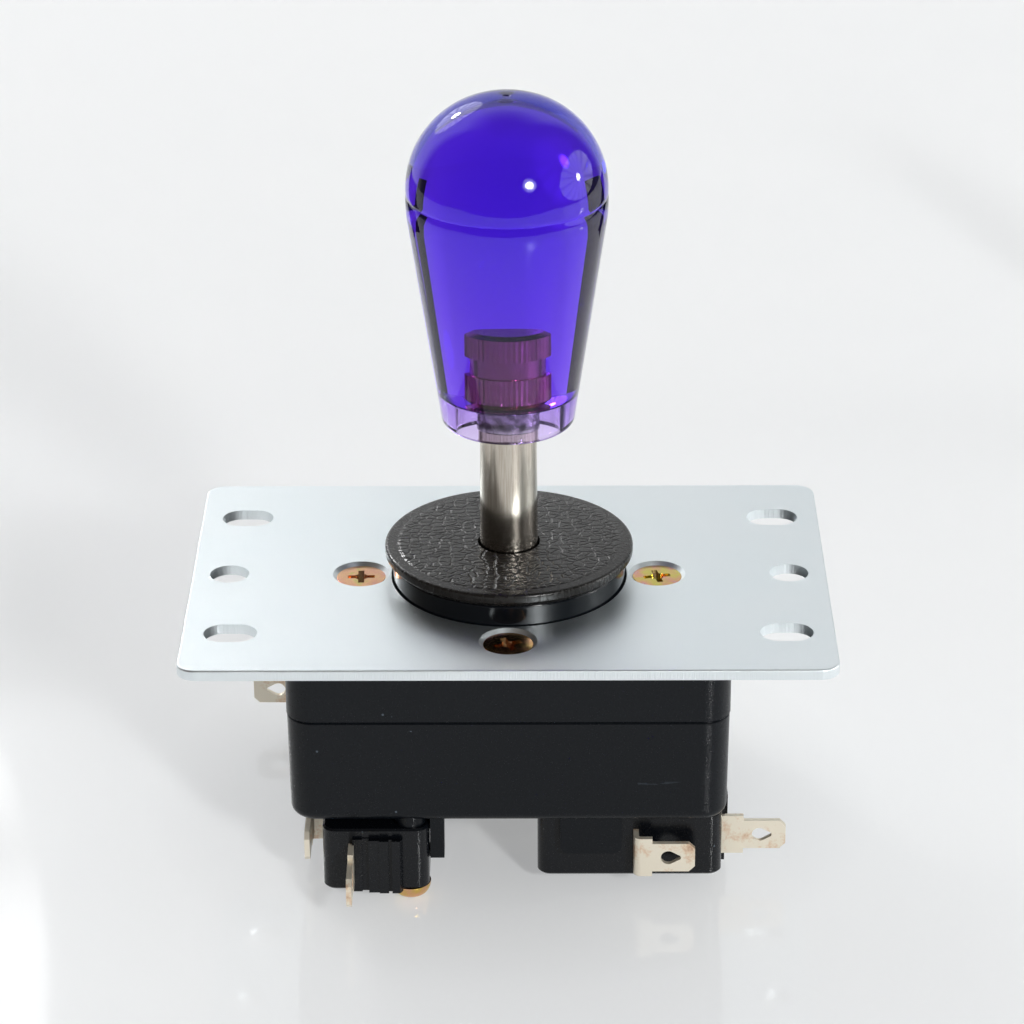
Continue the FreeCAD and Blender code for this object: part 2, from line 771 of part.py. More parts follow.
def switch_holes():
    """The two fixing holes through a switch."""
    low, high = switch_bottom_z - past, switch_top_z + past
    return [disc(switch_hole_r, low, high, screw_u, -screw_v), disc(switch_hole_r, low, high, peg_u, -peg_v)]


def hinge_lug(z0, z1):
    """An ear on a switch's inner face that holds the lever's trunnion."""
    ear = at_front(hinge_u - lug_r, hinge_u + lug_r, hinge_v, switch_v + switch_wall / 2, z0, z1)
    ear = ear.fuse(disc(lug_r, z0, z1, hinge_u, -hinge_v))
    return ear.cut(disc(trunnion_r + trunnion_clearance, z0 - past, z1 + past, hinge_u, -hinge_v))


def switch_base():
    """The switch's moulded base, open at its top where the mechanism lies."""
    body = switch_outline(switch_bottom_z, switch_seam_z)
    body = body.makeChamfer(switch_edge_chamfer, level_edges(body, switch_bottom_z))
    lug_top = actuator_z - lever_width / 2 - lug_gap
    lug = hinge_lug(lug_top - lug_thick, lug_top)
    base = joined(body, [guard(switch_bottom_z, switch_seam_z - guard_seam_drop), lug])
    cutters = switch_holes() + [mechanism_room()]
    reach = plunger_r + plunger_clearance
    start = FreeCAD.Vector(plunger_u, past - switch_v, actuator_z)
    bore = Part.makeCylinder(reach, past + 2 * switch_wall, start, FreeCAD.Vector(0, -1, 0))
    cutters.append(bore)
    cutters += terminal_slots()
    return without(base, cutters)


def mechanism_room():
    """The hollow inside a switch, part in the base and part in the cover."""
    u0, u1 = peg_u + switch_hole_r + switch_wall, screw_u - switch_hole_r - switch_wall
    v0, v1 = switch_v + switch_wall, switch_out_v - switch_wall
    return at_front(u0, u1, v0, v1, switch_bottom_z + switch_wall, switch_top_z - switch_wall)


def switch_cover():
    """The switch's moulded cover."""
    body = switch_outline(switch_seam_z, switch_top_z)
    body = body.makeChamfer(switch_edge_chamfer, level_edges(body, switch_top_z))
    lug_low = actuator_z + lever_width / 2 + lug_gap
    lug = hinge_lug(lug_low, lug_low + lug_thick)
    guard_low = switch_seam_z - guard_seam_drop
    face = guard(guard_low, switch_top_z - guard_top_drop)
    face = face.cut(switch_outline(guard_low - past, switch_seam_z))
    cover = joined(body, [face, lug])
    return without(cover, switch_holes() + terminal_slots() + [mechanism_room()])


def eye(u, z):
    """The flat outline of a terminal's teardrop hole, as a face in u and z."""
    reach = eye_nose_reach
    lean = math.asin((eye_r - eye_nose_r) / reach)
    s, c = math.sin(lean), math.cos(lean)
    a = FreeCAD.Vector(u + eye_r * s, 0, z + eye_r * c)
    b = FreeCAD.Vector(u + reach + eye_nose_r * s, 0, z + eye_nose_r * c)
    tip = FreeCAD.Vector(u + reach + eye_nose_r, 0, z)
    d = FreeCAD.Vector(b.x, 0, 2 * z - b.z)
    e = FreeCAD.Vector(a.x, 0, 2 * z - a.z)
    back = FreeCAD.Vector(u - eye_r, 0, z)
    sides = [Part.makeLine(a, b), Part.Arc(b, tip, d).toShape(), Part.makeLine(d, e)]
    sides.append(Part.Arc(e, back, a).toShape())
    return Part.Face(Part.Wire(sides))


def blade_face(u0, u_step):
    """A terminal's outline in u and z, from u0 past its wide root to the blade's tip."""
    high, low = terminal_z + root_height / 2, terminal_z - root_height / 2
    top, foot = terminal_z + blade_height / 2, terminal_z - blade_height / 2
    tip = u_step + blade_length
    c = blade_chamfer
    points = [(u0, low), (u_step, low), (u_step, foot), (tip - c, foot), (tip, foot + c)]
    points += [(tip, top - c), (tip - c, top), (u_step, top), (u_step, high), (u0, high)]
    corners = [FreeCAD.Vector(u, 0, z) for u, z in points]
    return Part.Face(Part.makePolygon(corners + corners[:1]))


def end_terminal():
    """The terminal that leaves the switch's end face."""
    u_step = switch_end_u + end_terminal_root
    face = blade_face(switch_end_u - terminal_inside, u_step)
    face = face.cut(eye(u_step + eye_centre, terminal_z))
    face.translate(FreeCAD.Vector(0, -end_terminal_v - terminal_thick / 2, 0))
    return face.extrude(FreeCAD.Vector(0, terminal_thick, 0))


def side_terminal():
    """The terminal that leaves the outer face and bends along it."""
    t, r = terminal_thick, side_terminal_bend_r
    u_in = side_terminal_u
    v_out = switch_out_v + side_terminal_reach
    u_step = u_in - t + side_terminal_root
    face = blade_face(u_in - t + r, u_step)
    face = face.cut(eye(u_step + eye_centre, terminal_z))
    face.translate(FreeCAD.Vector(0, -v_out - t / 2, 0))
    flag = face.extrude(FreeCAD.Vector(0, t, 0))
    low, high = terminal_z - root_height / 2, terminal_z + root_height / 2
    v_bend = v_out + t / 2 - r
    leg = at_front(u_in - t, u_in, switch_out_v - terminal_inside, v_bend, low, high)
    u_bend = u_in - t + r
    inner = disc(r - t, low - past, high + past, u_bend, -v_bend)
    elbow = disc(r, low, high, u_bend, -v_bend).cut(inner)
    elbow = elbow.common(at_front(u_in - t, u_bend, v_bend, v_bend + r, low, high))
    return joined(flag, [elbow, leg])


def terminal_slots():
    """The slots that the two terminals pass through."""
    g = terminal_slot_clearance
    low, high = terminal_z - root_height / 2 - g, terminal_z + root_height / 2 + g
    half = terminal_thick / 2 + g
    inside = terminal_inside + g
    end = at_front(switch_end_u - inside, switch_end_u + guard_reach + past, end_terminal_v - half,
                   end_terminal_v + half, low, high)
    u_mid = side_terminal_u - terminal_thick / 2
    side = at_front(u_mid - half, u_mid + half, switch_out_v - inside, switch_out_v + past, low, high)
    return [end, side]


def switch_lever():
    """The sprung steel lever: knuckle, trunnions, straight arm and curled end."""
    z0, z1 = actuator_z - lever_width / 2, actuator_z + lever_width / 2
    half = lever_thick / 2
    c, s = math.cos(lever_angle), math.sin(lever_angle)
    start = (hinge_u, hinge_v)
    end = (lever_curl_u, lever_foot_v)
    arm = [(start[0] - s * half, start[1] + c * half), (end[0] - s * half, end[1] + c * half)]
    arm += [(end[0] + s * half, end[1] - c * half), (start[0] + s * half, start[1] - c * half)]
    strip = plan([(u, -v) for u, v in arm], z0, z1)
    curl = lever_curl(z0, z1)
    knuckle = disc(knuckle_r, z0, z1, hinge_u, -hinge_v)
    pin_half = trunnion_length / 2
    pin = disc(trunnion_r, actuator_z - pin_half, actuator_z + pin_half, hinge_u, -hinge_v)
    return joined(strip, [curl, knuckle, pin])


def lever_curl(z0, z1):
    """The round nose that the actuator pushes."""
    reach, rise = lever_curl_u, lever_curl_rise
    radius = (reach ** 2 + rise ** 2) / (2 * rise)
    centre_v = lever_apex_v + radius
    nose = disc(radius + lever_thick / 2, z0, z1, 0, -centre_v)
    nose = nose.cut(disc(radius - lever_thick / 2, z0 - past, z1 + past, 0, -centre_v))
    return nose.common(at_front(-reach, reach, 0, lever_foot_v + lever_thick / 2, z0, z1))


def plunger():
    """The button that the lever presses into the switch."""
    start = FreeCAD.Vector(plunger_u, -plunger_tip_v, actuator_z)
    out = FreeCAD.Vector(0, -1, 0)
    pin = Part.makeCylinder(plunger_r, plunger_length, start, out)
    tip = [edge for edge in pin.Edges if edge.CenterOfMass.y > start.y - 1e-6]
    pin = pin.makeFillet(plunger_tip_r, tip)
    head_start = start + out * (plunger_length - plunger_head_thick)
    head = Part.makeCylinder(plunger_head_r, plunger_head_thick, head_start, out)
    return joined(pin, [head])


def snap_blade():
    """The springy contact blade inside a switch, held on the side terminal's root."""
    z0, z1 = actuator_z - blade_strip_width / 2, actuator_z + blade_strip_width / 2
    t = blade_strip_thick
    u1 = side_terminal_u - terminal_thick
    u0 = peg_u + switch_hole_r + switch_wall + blade_end_gap
    rise = blade_strip_rise
    v_root = switch_out_v - terminal_inside + rise
    points = [(u1, v_root), (u1 - blade_root_run, v_root - rise)]
    points += [(plunger_u, blade_strip_v), (u0, blade_strip_v + rise)]
    outline = points + [(u, v + t) for u, v in reversed(points)]
    return plan([(u, -v) for u, v in outline], z0, z1)


def switch_screw():
    """The round-headed screw that holds a switch up to the housing."""
    head_r = switch_screw_head_d / 2
    shank_r = switch_screw_d / 2
    h = switch_screw_head_height
    head_top = switch_bottom_z
    dome_r = (head_r ** 2 + h ** 2) / (2 * h)
    dome = Part.makeSphere(dome_r, FreeCAD.Vector(0, 0, head_top - h + dome_r))
    head = dome.common(disc(head_r, head_top - h, head_top))
    recess = cross_recess()
    recess.rotate(FreeCAD.Vector(0, 0, 0), FreeCAD.Vector(1, 0, 0), 180)
    recess.translate(FreeCAD.Vector(0, 0, head_top - h))
    screw = joined(head, [disc(shank_r, head_top, switch_screw_top_z)]).cut(recess)
    screw.translate(FreeCAD.Vector(screw_u, -screw_v, 0))
    return screw


def all_parts():
    """Every piece by name."""
    parts = {
        "mounting_plate": mounting_plate(),
        "top_cover": top_cover(),
        "collar": collar(),
        "lower_housing": lower_housing(),
        "restrictor_gate": restrictor_gate(),
        "tension_grommet": tension_grommet(),
        "pivot_bushing": pivot_bushing(),
        "spacer_tube": spacer_tube(),
        "actuator": actuator(),
        "retaining_clip": retaining_clip(),
        "shaft": shaft(),
        "knob_insert": knob_insert(),
        "bat_knob": bat_knob(),
        "dust_washer": dust_washer(),
        "lower_dust_washer": lower_dust_washer(),
    }
    screw_names = ("right", "back", "left", "front")
    for name, (x, y) in zip(screw_names, quarter_points(plate_screw_circle_r)):
        parts["plate_screw_" + name] = plate_screw().translated(FreeCAD.Vector(x, y, 0))
    switch_pieces = {
        "switch_base": switch_base(),
        "switch_cover": switch_cover(),
        "end_terminal": end_terminal(),
        "side_terminal": side_terminal(),
        "switch_lever": switch_lever(),
        "plunger": plunger(),
        "snap_blade": snap_blade(),
        "switch_screw": switch_screw(),
    }
    for number, place in enumerate(stations):
        for name, shape in switch_pieces.items():
            parts[name + "_" + place] = at_station(shape, number)
    return parts


def main():
    """Write one file for each piece."""
    os.makedirs("parts", exist_ok=True)
    for name, shape in all_parts().items():
        if not shape.isValid() or len(shape.Solids) != 1:
            print("check", name, shape.isValid(), len(shape.Solids))
        solid = shape.Solids[0] if len(shape.Solids) == 1 else shape
        solid.exportStep(os.path.join("parts", name + ".step"))
    print("gate half width", round(gate_half, 3))
    print("lever rest angle", round(math.degrees(lever_angle), 3))
    print("plunger tip v", round(plunger_tip_v, 3))


main()
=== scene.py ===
import math

import bmesh
import bpy
from bpy.props import FloatProperty, FloatVectorProperty, IntProperty, PointerProperty
from mathutils import Matrix, Vector


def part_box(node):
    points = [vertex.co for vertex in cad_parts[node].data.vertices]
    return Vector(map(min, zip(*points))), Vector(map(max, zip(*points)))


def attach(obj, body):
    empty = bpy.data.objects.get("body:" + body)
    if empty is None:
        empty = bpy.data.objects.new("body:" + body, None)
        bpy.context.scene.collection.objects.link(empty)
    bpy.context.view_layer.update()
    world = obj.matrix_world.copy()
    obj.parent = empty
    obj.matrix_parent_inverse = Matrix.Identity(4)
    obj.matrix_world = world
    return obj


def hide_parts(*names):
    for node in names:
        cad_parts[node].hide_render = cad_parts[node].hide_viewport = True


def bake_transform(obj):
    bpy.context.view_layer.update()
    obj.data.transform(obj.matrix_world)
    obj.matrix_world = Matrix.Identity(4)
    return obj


bl_info = {
    "name": "Arcade joystick lever",
    "version": (1, 0, 0),
    "blender": (4, 5, 0),
    "location": "View3D > Sidebar > Lever",
    "description": "Dresses a packed joystick lever with its finishes and sets the studio",
    "category": "Object",
}

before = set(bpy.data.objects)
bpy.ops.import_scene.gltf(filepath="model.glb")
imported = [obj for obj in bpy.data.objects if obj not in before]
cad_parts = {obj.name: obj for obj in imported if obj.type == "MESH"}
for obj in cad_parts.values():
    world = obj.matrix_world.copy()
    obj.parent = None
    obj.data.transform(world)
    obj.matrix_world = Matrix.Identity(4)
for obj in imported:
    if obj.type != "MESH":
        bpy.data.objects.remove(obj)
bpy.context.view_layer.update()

MM = 0.001
STATIONS = ("front", "right", "back", "left")

# The camera, solved from the plate's corners, slots and washer: millimetres and degrees
CAMERA_LENS = 134.8
CAMERA_SENSOR = 36
CAMERA_PLACE = (4.454, -529.080, 260.507)
CAMERA_TURN = 0.429
CAMERA_TIP = 25.297
CAMERA_LEAN = -0.311

# Lamps as name, azimuth from the front to the right, height, distance in metres and width in metres,
# placed by their highlights on the knob
KEY_LAMPS = (("core", 28, 24, 1.26, 0.10), ("key", 28, 24, 1.30, 0.20), ("halo", 28, 24, 1.34, 0.36))
AIM_Z = 40 * MM

# Each plate screw has a film of its own tone and stopped at a turn of its own, in radians
SCREW_TONES = {"front": "#b48d52", "right": "#d6c765", "back": "#d9b85e", "left": "#e6b88c"}
SCREW_TURNS = {"front": 0.42, "right": 0.22, "back": 0.9, "left": 0.03}
SWITCH_SCREW_STEP = 0.5


def linear(value):
    """A linear light value from an sRGB one between 0 and 1."""
    return value / 12.92 if value <= 0.04045 else ((value + 0.055) / 1.055) ** 2.4


def colour(text):
    """A linear RGBA colour from an sRGB hex value."""
    parts = [int(text[i:i + 2], 16) / 255 for i in (1, 3, 5)]
    return tuple(linear(part) for part in parts) + (1.0,)


def tint(label, text, note):
    """A colour property with its default from a hex value."""
    return FloatVectorProperty(name=label, description=note, subtype="COLOR", size=4,
                               min=0, max=1, default=colour(text))


def length(label, millimetres, note):
    """A length property in metres with its default in millimetres."""
    return FloatProperty(name=label, description=note, unit="LENGTH", subtype="DISTANCE",
                         default=millimetres * MM, precision=5)


class KnobSizes(bpy.types.PropertyGroup):
    """Sizes of the bat knob."""
    radius: length("Radius", 14.95, "Radius of the dome and of the knob's widest ring")
    seam_z: length("Seam height", 62.3, "Height of the mould's parting line")
    cone_top_z: length("Cone top", 59.6, "Height where the straight cone starts")
    neck_r: length("Neck radius", 9.95, "Radius at the knob's foot")
    bottom_z: length("Foot height", 25.8, "Height of the knob's lower face")
    edge_r: length("Foot rounding", 1.0, "Rounding of the foot's outer edge")
    recess_r: length("Recess radius", 7.3, "Radius of the hollow in the foot")
    recess_depth: length("Recess depth", 4.9, "Depth of the hollow in the foot")
    seam_depth: length("Seam depth", 0.02, "Depth of the groove at the parting line")
    gate_r: length("Gate radius", 0.65, "Radius of the mark that the mould's gate left")
    gate_depth: length("Gate depth", 0.14, "Depth of that mark")
    turns: IntProperty(name="Segments", description="Faces round the knob", default=160, min=24)


class WasherSizes(bpy.types.PropertyGroup):
    """Sizes of the dust washer."""
    radius: length("Radius", 18.98, "Outer radius")
    thickness: length("Thickness", 2.2, "Height of the rim")
    hole_r: length("Hole radius", 4.78, "Radius of the hole round the shaft")
    land: length("Land", 1.0, "Thickness round the hole")
    relief_r: length("Relief radius", 12.4, "Radius of the hollow below")
    under_z: length("Underside height", 3.4, "Height of the rim's lower face")
    plain_r: length("Grain radius", 16.9, "Radius where the grain stops")


class InsertSizes(bpy.types.PropertyGroup):
    """Sizes of the knurled insert."""
    foot_r: length("Foot radius", 4.45, "Radius of the plated foot")
    knurl_r: length("Knurl radius", 4.1, "Radius over the ridges")
    waist_r: length("Waist radius", 3.6, "Radius between the two knurls")
    bore_r: length("Bore radius", 3.03, "Radius of the threaded bore")
    foot_z: length("Foot height", 26.5, "Height of the lower end")
    low_z: length("Lower knurl height", 30.7, "Height where the lower knurl starts")
    waist_z: length("Waist height", 35.6, "Height where the waist starts")
    high_z: length("Upper knurl height", 38.6, "Height where the upper knurl starts")
    top_z: length("Top height", 42.8, "Height of the top")
    bore_z: length("Bore height", 39.6, "Height of the bore's end")
    chamfer: length("Chamfer", 0.7, "Chamfer at both ends of the knurls")
    depth: length("Ridge depth", 0.11, "Depth of the grooves between the ridges")
    ridges: IntProperty(name="Ridges", description="Ridges round the insert", default=42, min=12)


class ScrewSizes(bpy.types.PropertyGroup):
    """Sizes of the cross-head screws."""
    sunk_head_r: length("Sunk head radius", 3.8, "Radius of a plate screw's head")
    sunk_shank_r: length("Sunk shank radius", 2.0, "Radius of a plate screw's shank")
    sunk_top_z: length("Sunk head height", -0.5, "Height of a plate screw's top")
    sunk_tip_z: length("Sunk tip height", -20.0, "Height of a plate screw's tip")
    round_head_r: length("Round head radius", 3.0, "Radius of a switch screw's head")
    round_head_h: length("Round head height", 2.4, "Height of a switch screw's head")
    round_shank_r: length("Round shank radius", 1.5, "Radius of a switch screw's shank")
    wing_width: length("Recess wing", 0.95, "Width of the cross recess's wings")
    wing_span: length("Recess span", 4.3, "Width across the cross recess")
    wing_depth: length("Recess depth", 2.1, "Depth of the cross recess")


class MountSizes(bpy.types.PropertyGroup):
    """Sizes of the rubber mount, whose bore is waisted so that the bushing can lean in it any way."""
    waist_r: length("Bore waist", 7.8, "Radius of the bore at the pivot")
    top_r: length("Bore top", 8.7, "Radius of the bore's upper end")
    low_r: length("Bore foot", 9.05, "Radius of the bore's lower end")
    hub_r: length("Hub radius", 9.4, "Radius of the hub")
    shoulder_r: length("Shoulder radius", 11.4, "Radius where the hub meets the flange")
    root_r: length("Root radius", 13.1, "Radius where the flange's underside ends")
    shelf_z: length("Flange top", -9.1, "Height of the flange's top")
    foot_z: length("Flange foot", -14.0, "Height of the flange's underside")
    pivot_z: length("Pivot height", -10.0, "Height of the lever's pivot")


class StudioSettings(bpy.types.PropertyGroup):
    """The white sheet, the lamps and the room."""
    floor_z: length("Floor height", -39.5, "Height of the sheet under the switch screws")
    sheet_half: length("Sheet half width", 600, "Half of the sheet's width")
    # The sheet's glow is painted light, not a lamp, and the glow taken away under the lever is painted
    # shade
    glow: FloatProperty(name="Sheet glow", description="Light that the sheet gives off in front",
                        default=0.49)
    far_painted_glow: FloatProperty(name="Far glow", description="Light that the sheet gives off behind",
                            default=0.48)
    painted_shade_under: FloatProperty(name="Shade", description="Glow taken away under the lever",
                               default=0.17)
    core_power: FloatProperty(name="Key core", description="Power of the key lamp's hot middle",
                              unit="POWER", default=4.0)
    key_power: FloatProperty(name="Key lamp", description="Power of the round lamp at front right",
                             unit="POWER", default=4.0)
    halo_power: FloatProperty(name="Key halo", description="Power of the soft ring round the key lamp",
                              unit="POWER", default=1.3)
    side_glow: FloatProperty(name="Side umbrella", description="Brightness of the umbrella at right",
                             default=1.7)
    back_glow: FloatProperty(name="Back umbrella", default=2.8,
                             description="Brightness of the umbrella behind at left")
    backdrop: FloatProperty(name="Backdrop", description="Brightness of the white backdrop",
                            default=0.97)
    room: FloatProperty(name="Room", description="Brightness of the room in front", default=0.15)
    flag_height: length("Flag height", 75, "Height of the dark cards")
    flag_distance: length("Flag distance", 200, "Distance of the dark cards from the lever's axis")
    floor_tint: tint("Sheet", "#bfc0c0", "Colour of the sheet")


class Finishes(bpy.types.PropertyGroup):
    """Colours of the finishes."""
    zinc: tint("Zinc", "#f1f6f8", "Clear zinc plating of the plate")
    gold: tint("Yellow zinc", "#d9b85e", "Yellow passivated zinc of the screws")
    black: tint("Black ABS", "#0b0f14", "Moulded housing and cover")
    switch: tint("Switch black", "#090c11", "Moulded switch bodies")
    grain: tint("Washer black", "#171513", "Leather-grained washer")
    nickel: tint("Nickel", "#cfc8bd", "Plated shaft")
    brass: tint("Brass", "#efbe96", "Knurled insert")
    tin: tint("Tinned brass", "#f4ebd8", "Terminals")
    violet: FloatVectorProperty(name="Violet", description="Colour that the acrylic lets through",
                                subtype="COLOR", size=4, min=0, max=1,
                                default=(0.40, 0.03, 0.925, 1.0))
    violet_density: FloatProperty(name="Violet density", description="Absorption per metre",
                                  default=160.0)


def add(tree, kind, inputs=None, **settings):
    """Add a node. An input given as a socket is linked, and any other value is set."""
    made = tree.nodes.new("ShaderNode" + kind)
    for key, value in settings.items():
        setattr(made, key, value)
    for key, value in (inputs or {}).items():
        if isinstance(value, bpy.types.NodeSocket):
            tree.links.new(value, made.inputs[key])
        else:
            made.inputs[key].default_value = value
    return made


def ramp(tree, source, stops):
    """A colour ramp over (position, colour or grey) stops."""
    made = add(tree, "ValToRGB", {"Fac": source})
    points = made.color_ramp.elements
    while len(points) < len(stops):
        points.new(0.5)
    for point, (position, shade) in zip(points, stops):
        point.position = position
        point.color = shade if isinstance(shade, tuple) else (shade, shade, shade, 1.0)
    return made.outputs["Color"]


def noise(tree, grain_mm, detail=3.0, stretch=(1, 1, 1), rough=0.55):
    """Noise whose grain is grain_mm across, stretched along the axes given under 1."""
    where = add(tree, "TexCoord").outputs["Object"]
    scale = tuple(axis / (grain_mm * MM) for axis in stretch)
    placed = add(tree, "Mapping", {"Vector": where, "Scale": scale}).outputs["Vector"]
    made = add(tree, "TexNoise", {"Vector": placed, "Scale": 1.0, "Detail": detail,
                                  "Roughness": rough})
    return made.outputs["Fac"]


def remap(tree, source, low, high, to_low, to_high):
    """A value carried from one range to another."""
    made = add(tree, "MapRange", {"Value": source, "From Min": low, "From Max": high,
                                  "To Min": to_low, "To Max": to_high})
    return made.outputs["Result"]


def math_node(tree, operation, first, second=0.0):
    """One sum of two values."""
    return add(tree, "Math", {0: first, 1: second}, operation=operation).outputs[0]


def mix(tree, factor, first, second):
    """A blend of two colours."""
    made = add(tree, "Mix", {"Factor": factor, 6: first, 7: second}, data_type="RGBA")
    return made.outputs[2]


def surface(name, inputs):
    """A new material with one principled shader, its tree and that shader."""
    material = bpy.data.materials.new(name)
    material.use_nodes = True
    tree = material.node_tree
    shader = tree.nodes["Principled BSDF"]
    for key, value in inputs.items():
        shader.inputs[key].default_value = value
    return material, tree, shader


def bump(tree, shader, height, depth_mm, strength=1.0):
    """Bump of a real depth on a shader."""
    made = add(tree, "Bump", {"Height": height, "Distance": depth_mm * MM, "Strength": strength})
    tree.links.new(made.outputs["Normal"], shader.inputs["Normal"])
    return made


def zinc_plated_steel(shade):
    """Rolled steel with clear zinc."""
    material, tree, shader = surface("zinc_plated_steel", {"Metallic": 1.0, "Roughness": 0.4})
    # Barrel-plated sheet: a fine matt grain, cloudy patches, and shear marks down its cut edges
    clouds = noise(tree, 22, 2)
    tree.links.new(mix(tree, clouds, shade, colour("#eaf3f6")), shader.inputs["Base Color"])
    fine = noise(tree, 0.25, 2)
    tree.links.new(remap(tree, fine, 0.3, 0.7, 0.36, 0.46), shader.inputs["Roughness"])
    shear = noise(tree, 0.25, 2, (1, 1, 0.06))
    up = add(tree, "SeparateXYZ", {"Vector": add(tree, "NewGeometry").outputs["Normal"]})
    cut = math_node(tree, "LESS_THAN", math_node(tree, "ABSOLUTE", up.outputs["Z"]), 0.5)
    height = math_node(tree, "ADD", math_node(tree, "MULTIPLY", shear, cut),
                       math_node(tree, "MULTIPLY", fine, 0.12))
    bump(tree, shader, height, 0.08)
    return material


def yellow_zinc(name, shade):
    """Machine screws with yellow passivation."""
    material, tree, shader = surface(name, {"Metallic": 1.0, "Roughness": 0.16})
    # Chromate film: gold that turns pink and green where the film is thicker
    film = noise(tree, 2.4, 2)
    bands = ramp(tree, film, [(0.3, colour("#c9c56a")), (0.42, shade), (0.66, colour("#e0a88c")),
                              (0.8, colour("#c8a0b8"))])
    tree.links.new(bands, shader.inputs["Base Color"])
    fine = noise(tree, 0.2, 2)
    tree.links.new(remap(tree, fine, 0.3, 0.7, 0.1, 0.26), shader.inputs["Roughness"])
    bump(tree, shader, fine, 0.012)
    return material


def moulded_plastic(name, shade, roughness, speck_mm, depth_mm, gloss):
    """Injection-moulded black plastic."""
    material, tree, shader = surface(name, {"Roughness": roughness, "Specular IOR Level": gloss})
    # Moulded against satin steel: an even skin with pale handling specks and faint scratches
    specks = add(tree, "TexVoronoi", {"Vector": add(tree, "TexCoord").outputs["Object"],
                                      "Scale": 1 / (speck_mm * MM)})
    dots = math_node(tree, "LESS_THAN", specks.outputs["Distance"], 0.06)
    rare = math_node(tree, "GREATER_THAN", noise(tree, speck_mm * 1.7, 1), 0.56)
    marks = math_node(tree, "MULTIPLY", dots, rare)
    scratch = noise(tree, 2.2, 4, (0.12, 0.12, 1.0), 0.7)
    worn = math_node(tree, "MULTIPLY", math_node(tree, "GREATER_THAN", scratch, 0.7), 0.25)
    wear = math_node(tree, "ADD", marks, worn)
    tree.links.new(mix(tree, wear, shade, colour("#4c555e")), shader.inputs["Base Color"])
    skin = noise(tree, 0.35, 3)
    tree.links.new(remap(tree, skin, 0.3, 0.7, roughness - 0.05, roughness + 0.07),
                   shader.inputs["Roughness"])
    bump(tree, shader, skin, depth_mm)
    return material


def grained_washer(shade, plain_r):
    """Leather-grained moulded washer."""
    material, tree, shader = surface("grained_washer", {"Roughness": 0.3})
    # Moulded against an etched tool: a net of wrinkles 1 to 1.5 mm apart inside a plain rim
    where = add(tree, "TexCoord").outputs["Object"]
    bend = add(tree, "TexNoise", {"Vector": where, "Scale": 1 / (1.6 * MM), "Detail": 2.0})
    pull = add(tree, "VectorMath", {0: bend.outputs["Color"], 1: (0.0009, 0.0009, 0.0)},
               operation="MULTIPLY")
    moved = add(tree, "VectorMath", {0: where, 1: pull.outputs["Vector"]}, operation="ADD")
    flat = add(tree, "Mapping", {"Vector": moved.outputs["Vector"], "Scale": (0.7, 1.0, 0.0)})
    net = add(tree, "TexVoronoi", {"Vector": flat.outputs["Vector"], "Scale": 1 / (1.15 * MM)},
              feature="DISTANCE_TO_EDGE", voronoi_dimensions="2D")
    lines = remap(tree, net.outputs["Distance"], 0.0, 0.16, 0.0, 1.0)
    small = noise(tree, 0.3, 3)
    relief = math_node(tree, "ADD", lines, math_node(tree, "MULTIPLY", small, 0.35))
    apart = add(tree, "SeparateXYZ", {"Vector": where})
    level = add(tree, "CombineXYZ", {"X": apart.outputs["X"], "Y": apart.outputs["Y"]})
    radius = add(tree, "VectorMath", {0: level.outputs["Vector"]}, operation="LENGTH")
    inside = remap(tree, radius.outputs["Value"], plain_r - 0.0003, plain_r + 0.0002, 1.0, 0.0)
    height = math_node(tree, "MULTIPLY", relief, inside)
    shader.inputs["Base Color"].default_value = shade
    tree.links.new(remap(tree, lines, 0.0, 1.0, 0.45, 0.26), shader.inputs["Roughness"])
    bump(tree, shader, height, 0.14)
    return material


def ground_nickel(name, shade, roughness):
    """Ground shaft with bright nickel."""
    material, tree, shader = surface(name, {"Metallic": 1.0, "Roughness": roughness,
                                            "Anisotropic": 0.75})
    # Centreless ground round the axis, so a lamp draws out to an upright streak
    tangent = add(tree, "Tangent", direction_type="RADIAL", axis="Z")
    tree.links.new(tangent.outputs["Tangent"], shader.inputs["Tangent"])
    lines = noise(tree, 0.12, 2, (1, 1, 0.02))
    tree.links.new(mix(tree, remap(tree, lines, 0.35, 0.65, 0.0, 1.0), shade, colour("#b9afa2")),
                   shader.inputs["Base Color"])
    return material


def turned_insert(shade, foot_z):
    """Knurled brass insert with a nickelled foot."""
    material, tree, shader = surface("turned_insert", {"Metallic": 1.0, "Roughness": 0.26})
    # Brass bar, rolled and left bare above, plated and blotched dark where it shows under the knob
    height = add(tree, "SeparateXYZ", {"Vector": add(tree, "TexCoord").outputs["Object"]})
    above = math_node(tree, "GREATER_THAN", height.outputs["Z"], foot_z)
    rub = noise(tree, 1.4, 3)
    bare = mix(tree, rub, shade, colour("#e0a878"))
    plated = ramp(tree, rub, [(0.4, colour("#d2cfd0")), (0.62, colour("#8f8a8c"))])
    tree.links.new(mix(tree, above, plated, bare), shader.inputs["Base Color"])
    return material


def clear_violet(passes, density):
    """Clear violet acrylic."""
    clear = {"Transmission Weight": 1.0, "IOR": 1.49, "Roughness": 0.0, "Base Color": (1, 1, 1, 1)}
    material, tree = surface("clear_violet_acrylic", clear)[:2]
    # Cast acrylic dyed through, so the colour deepens with thickness, and polished outside
    inside = add(tree, "VolumeAbsorption", {"Color": tuple(passes), "Density": density})
    tree.links.new(inside.outputs["Volume"], tree.nodes["Material Output"].inputs["Volume"])
    return material


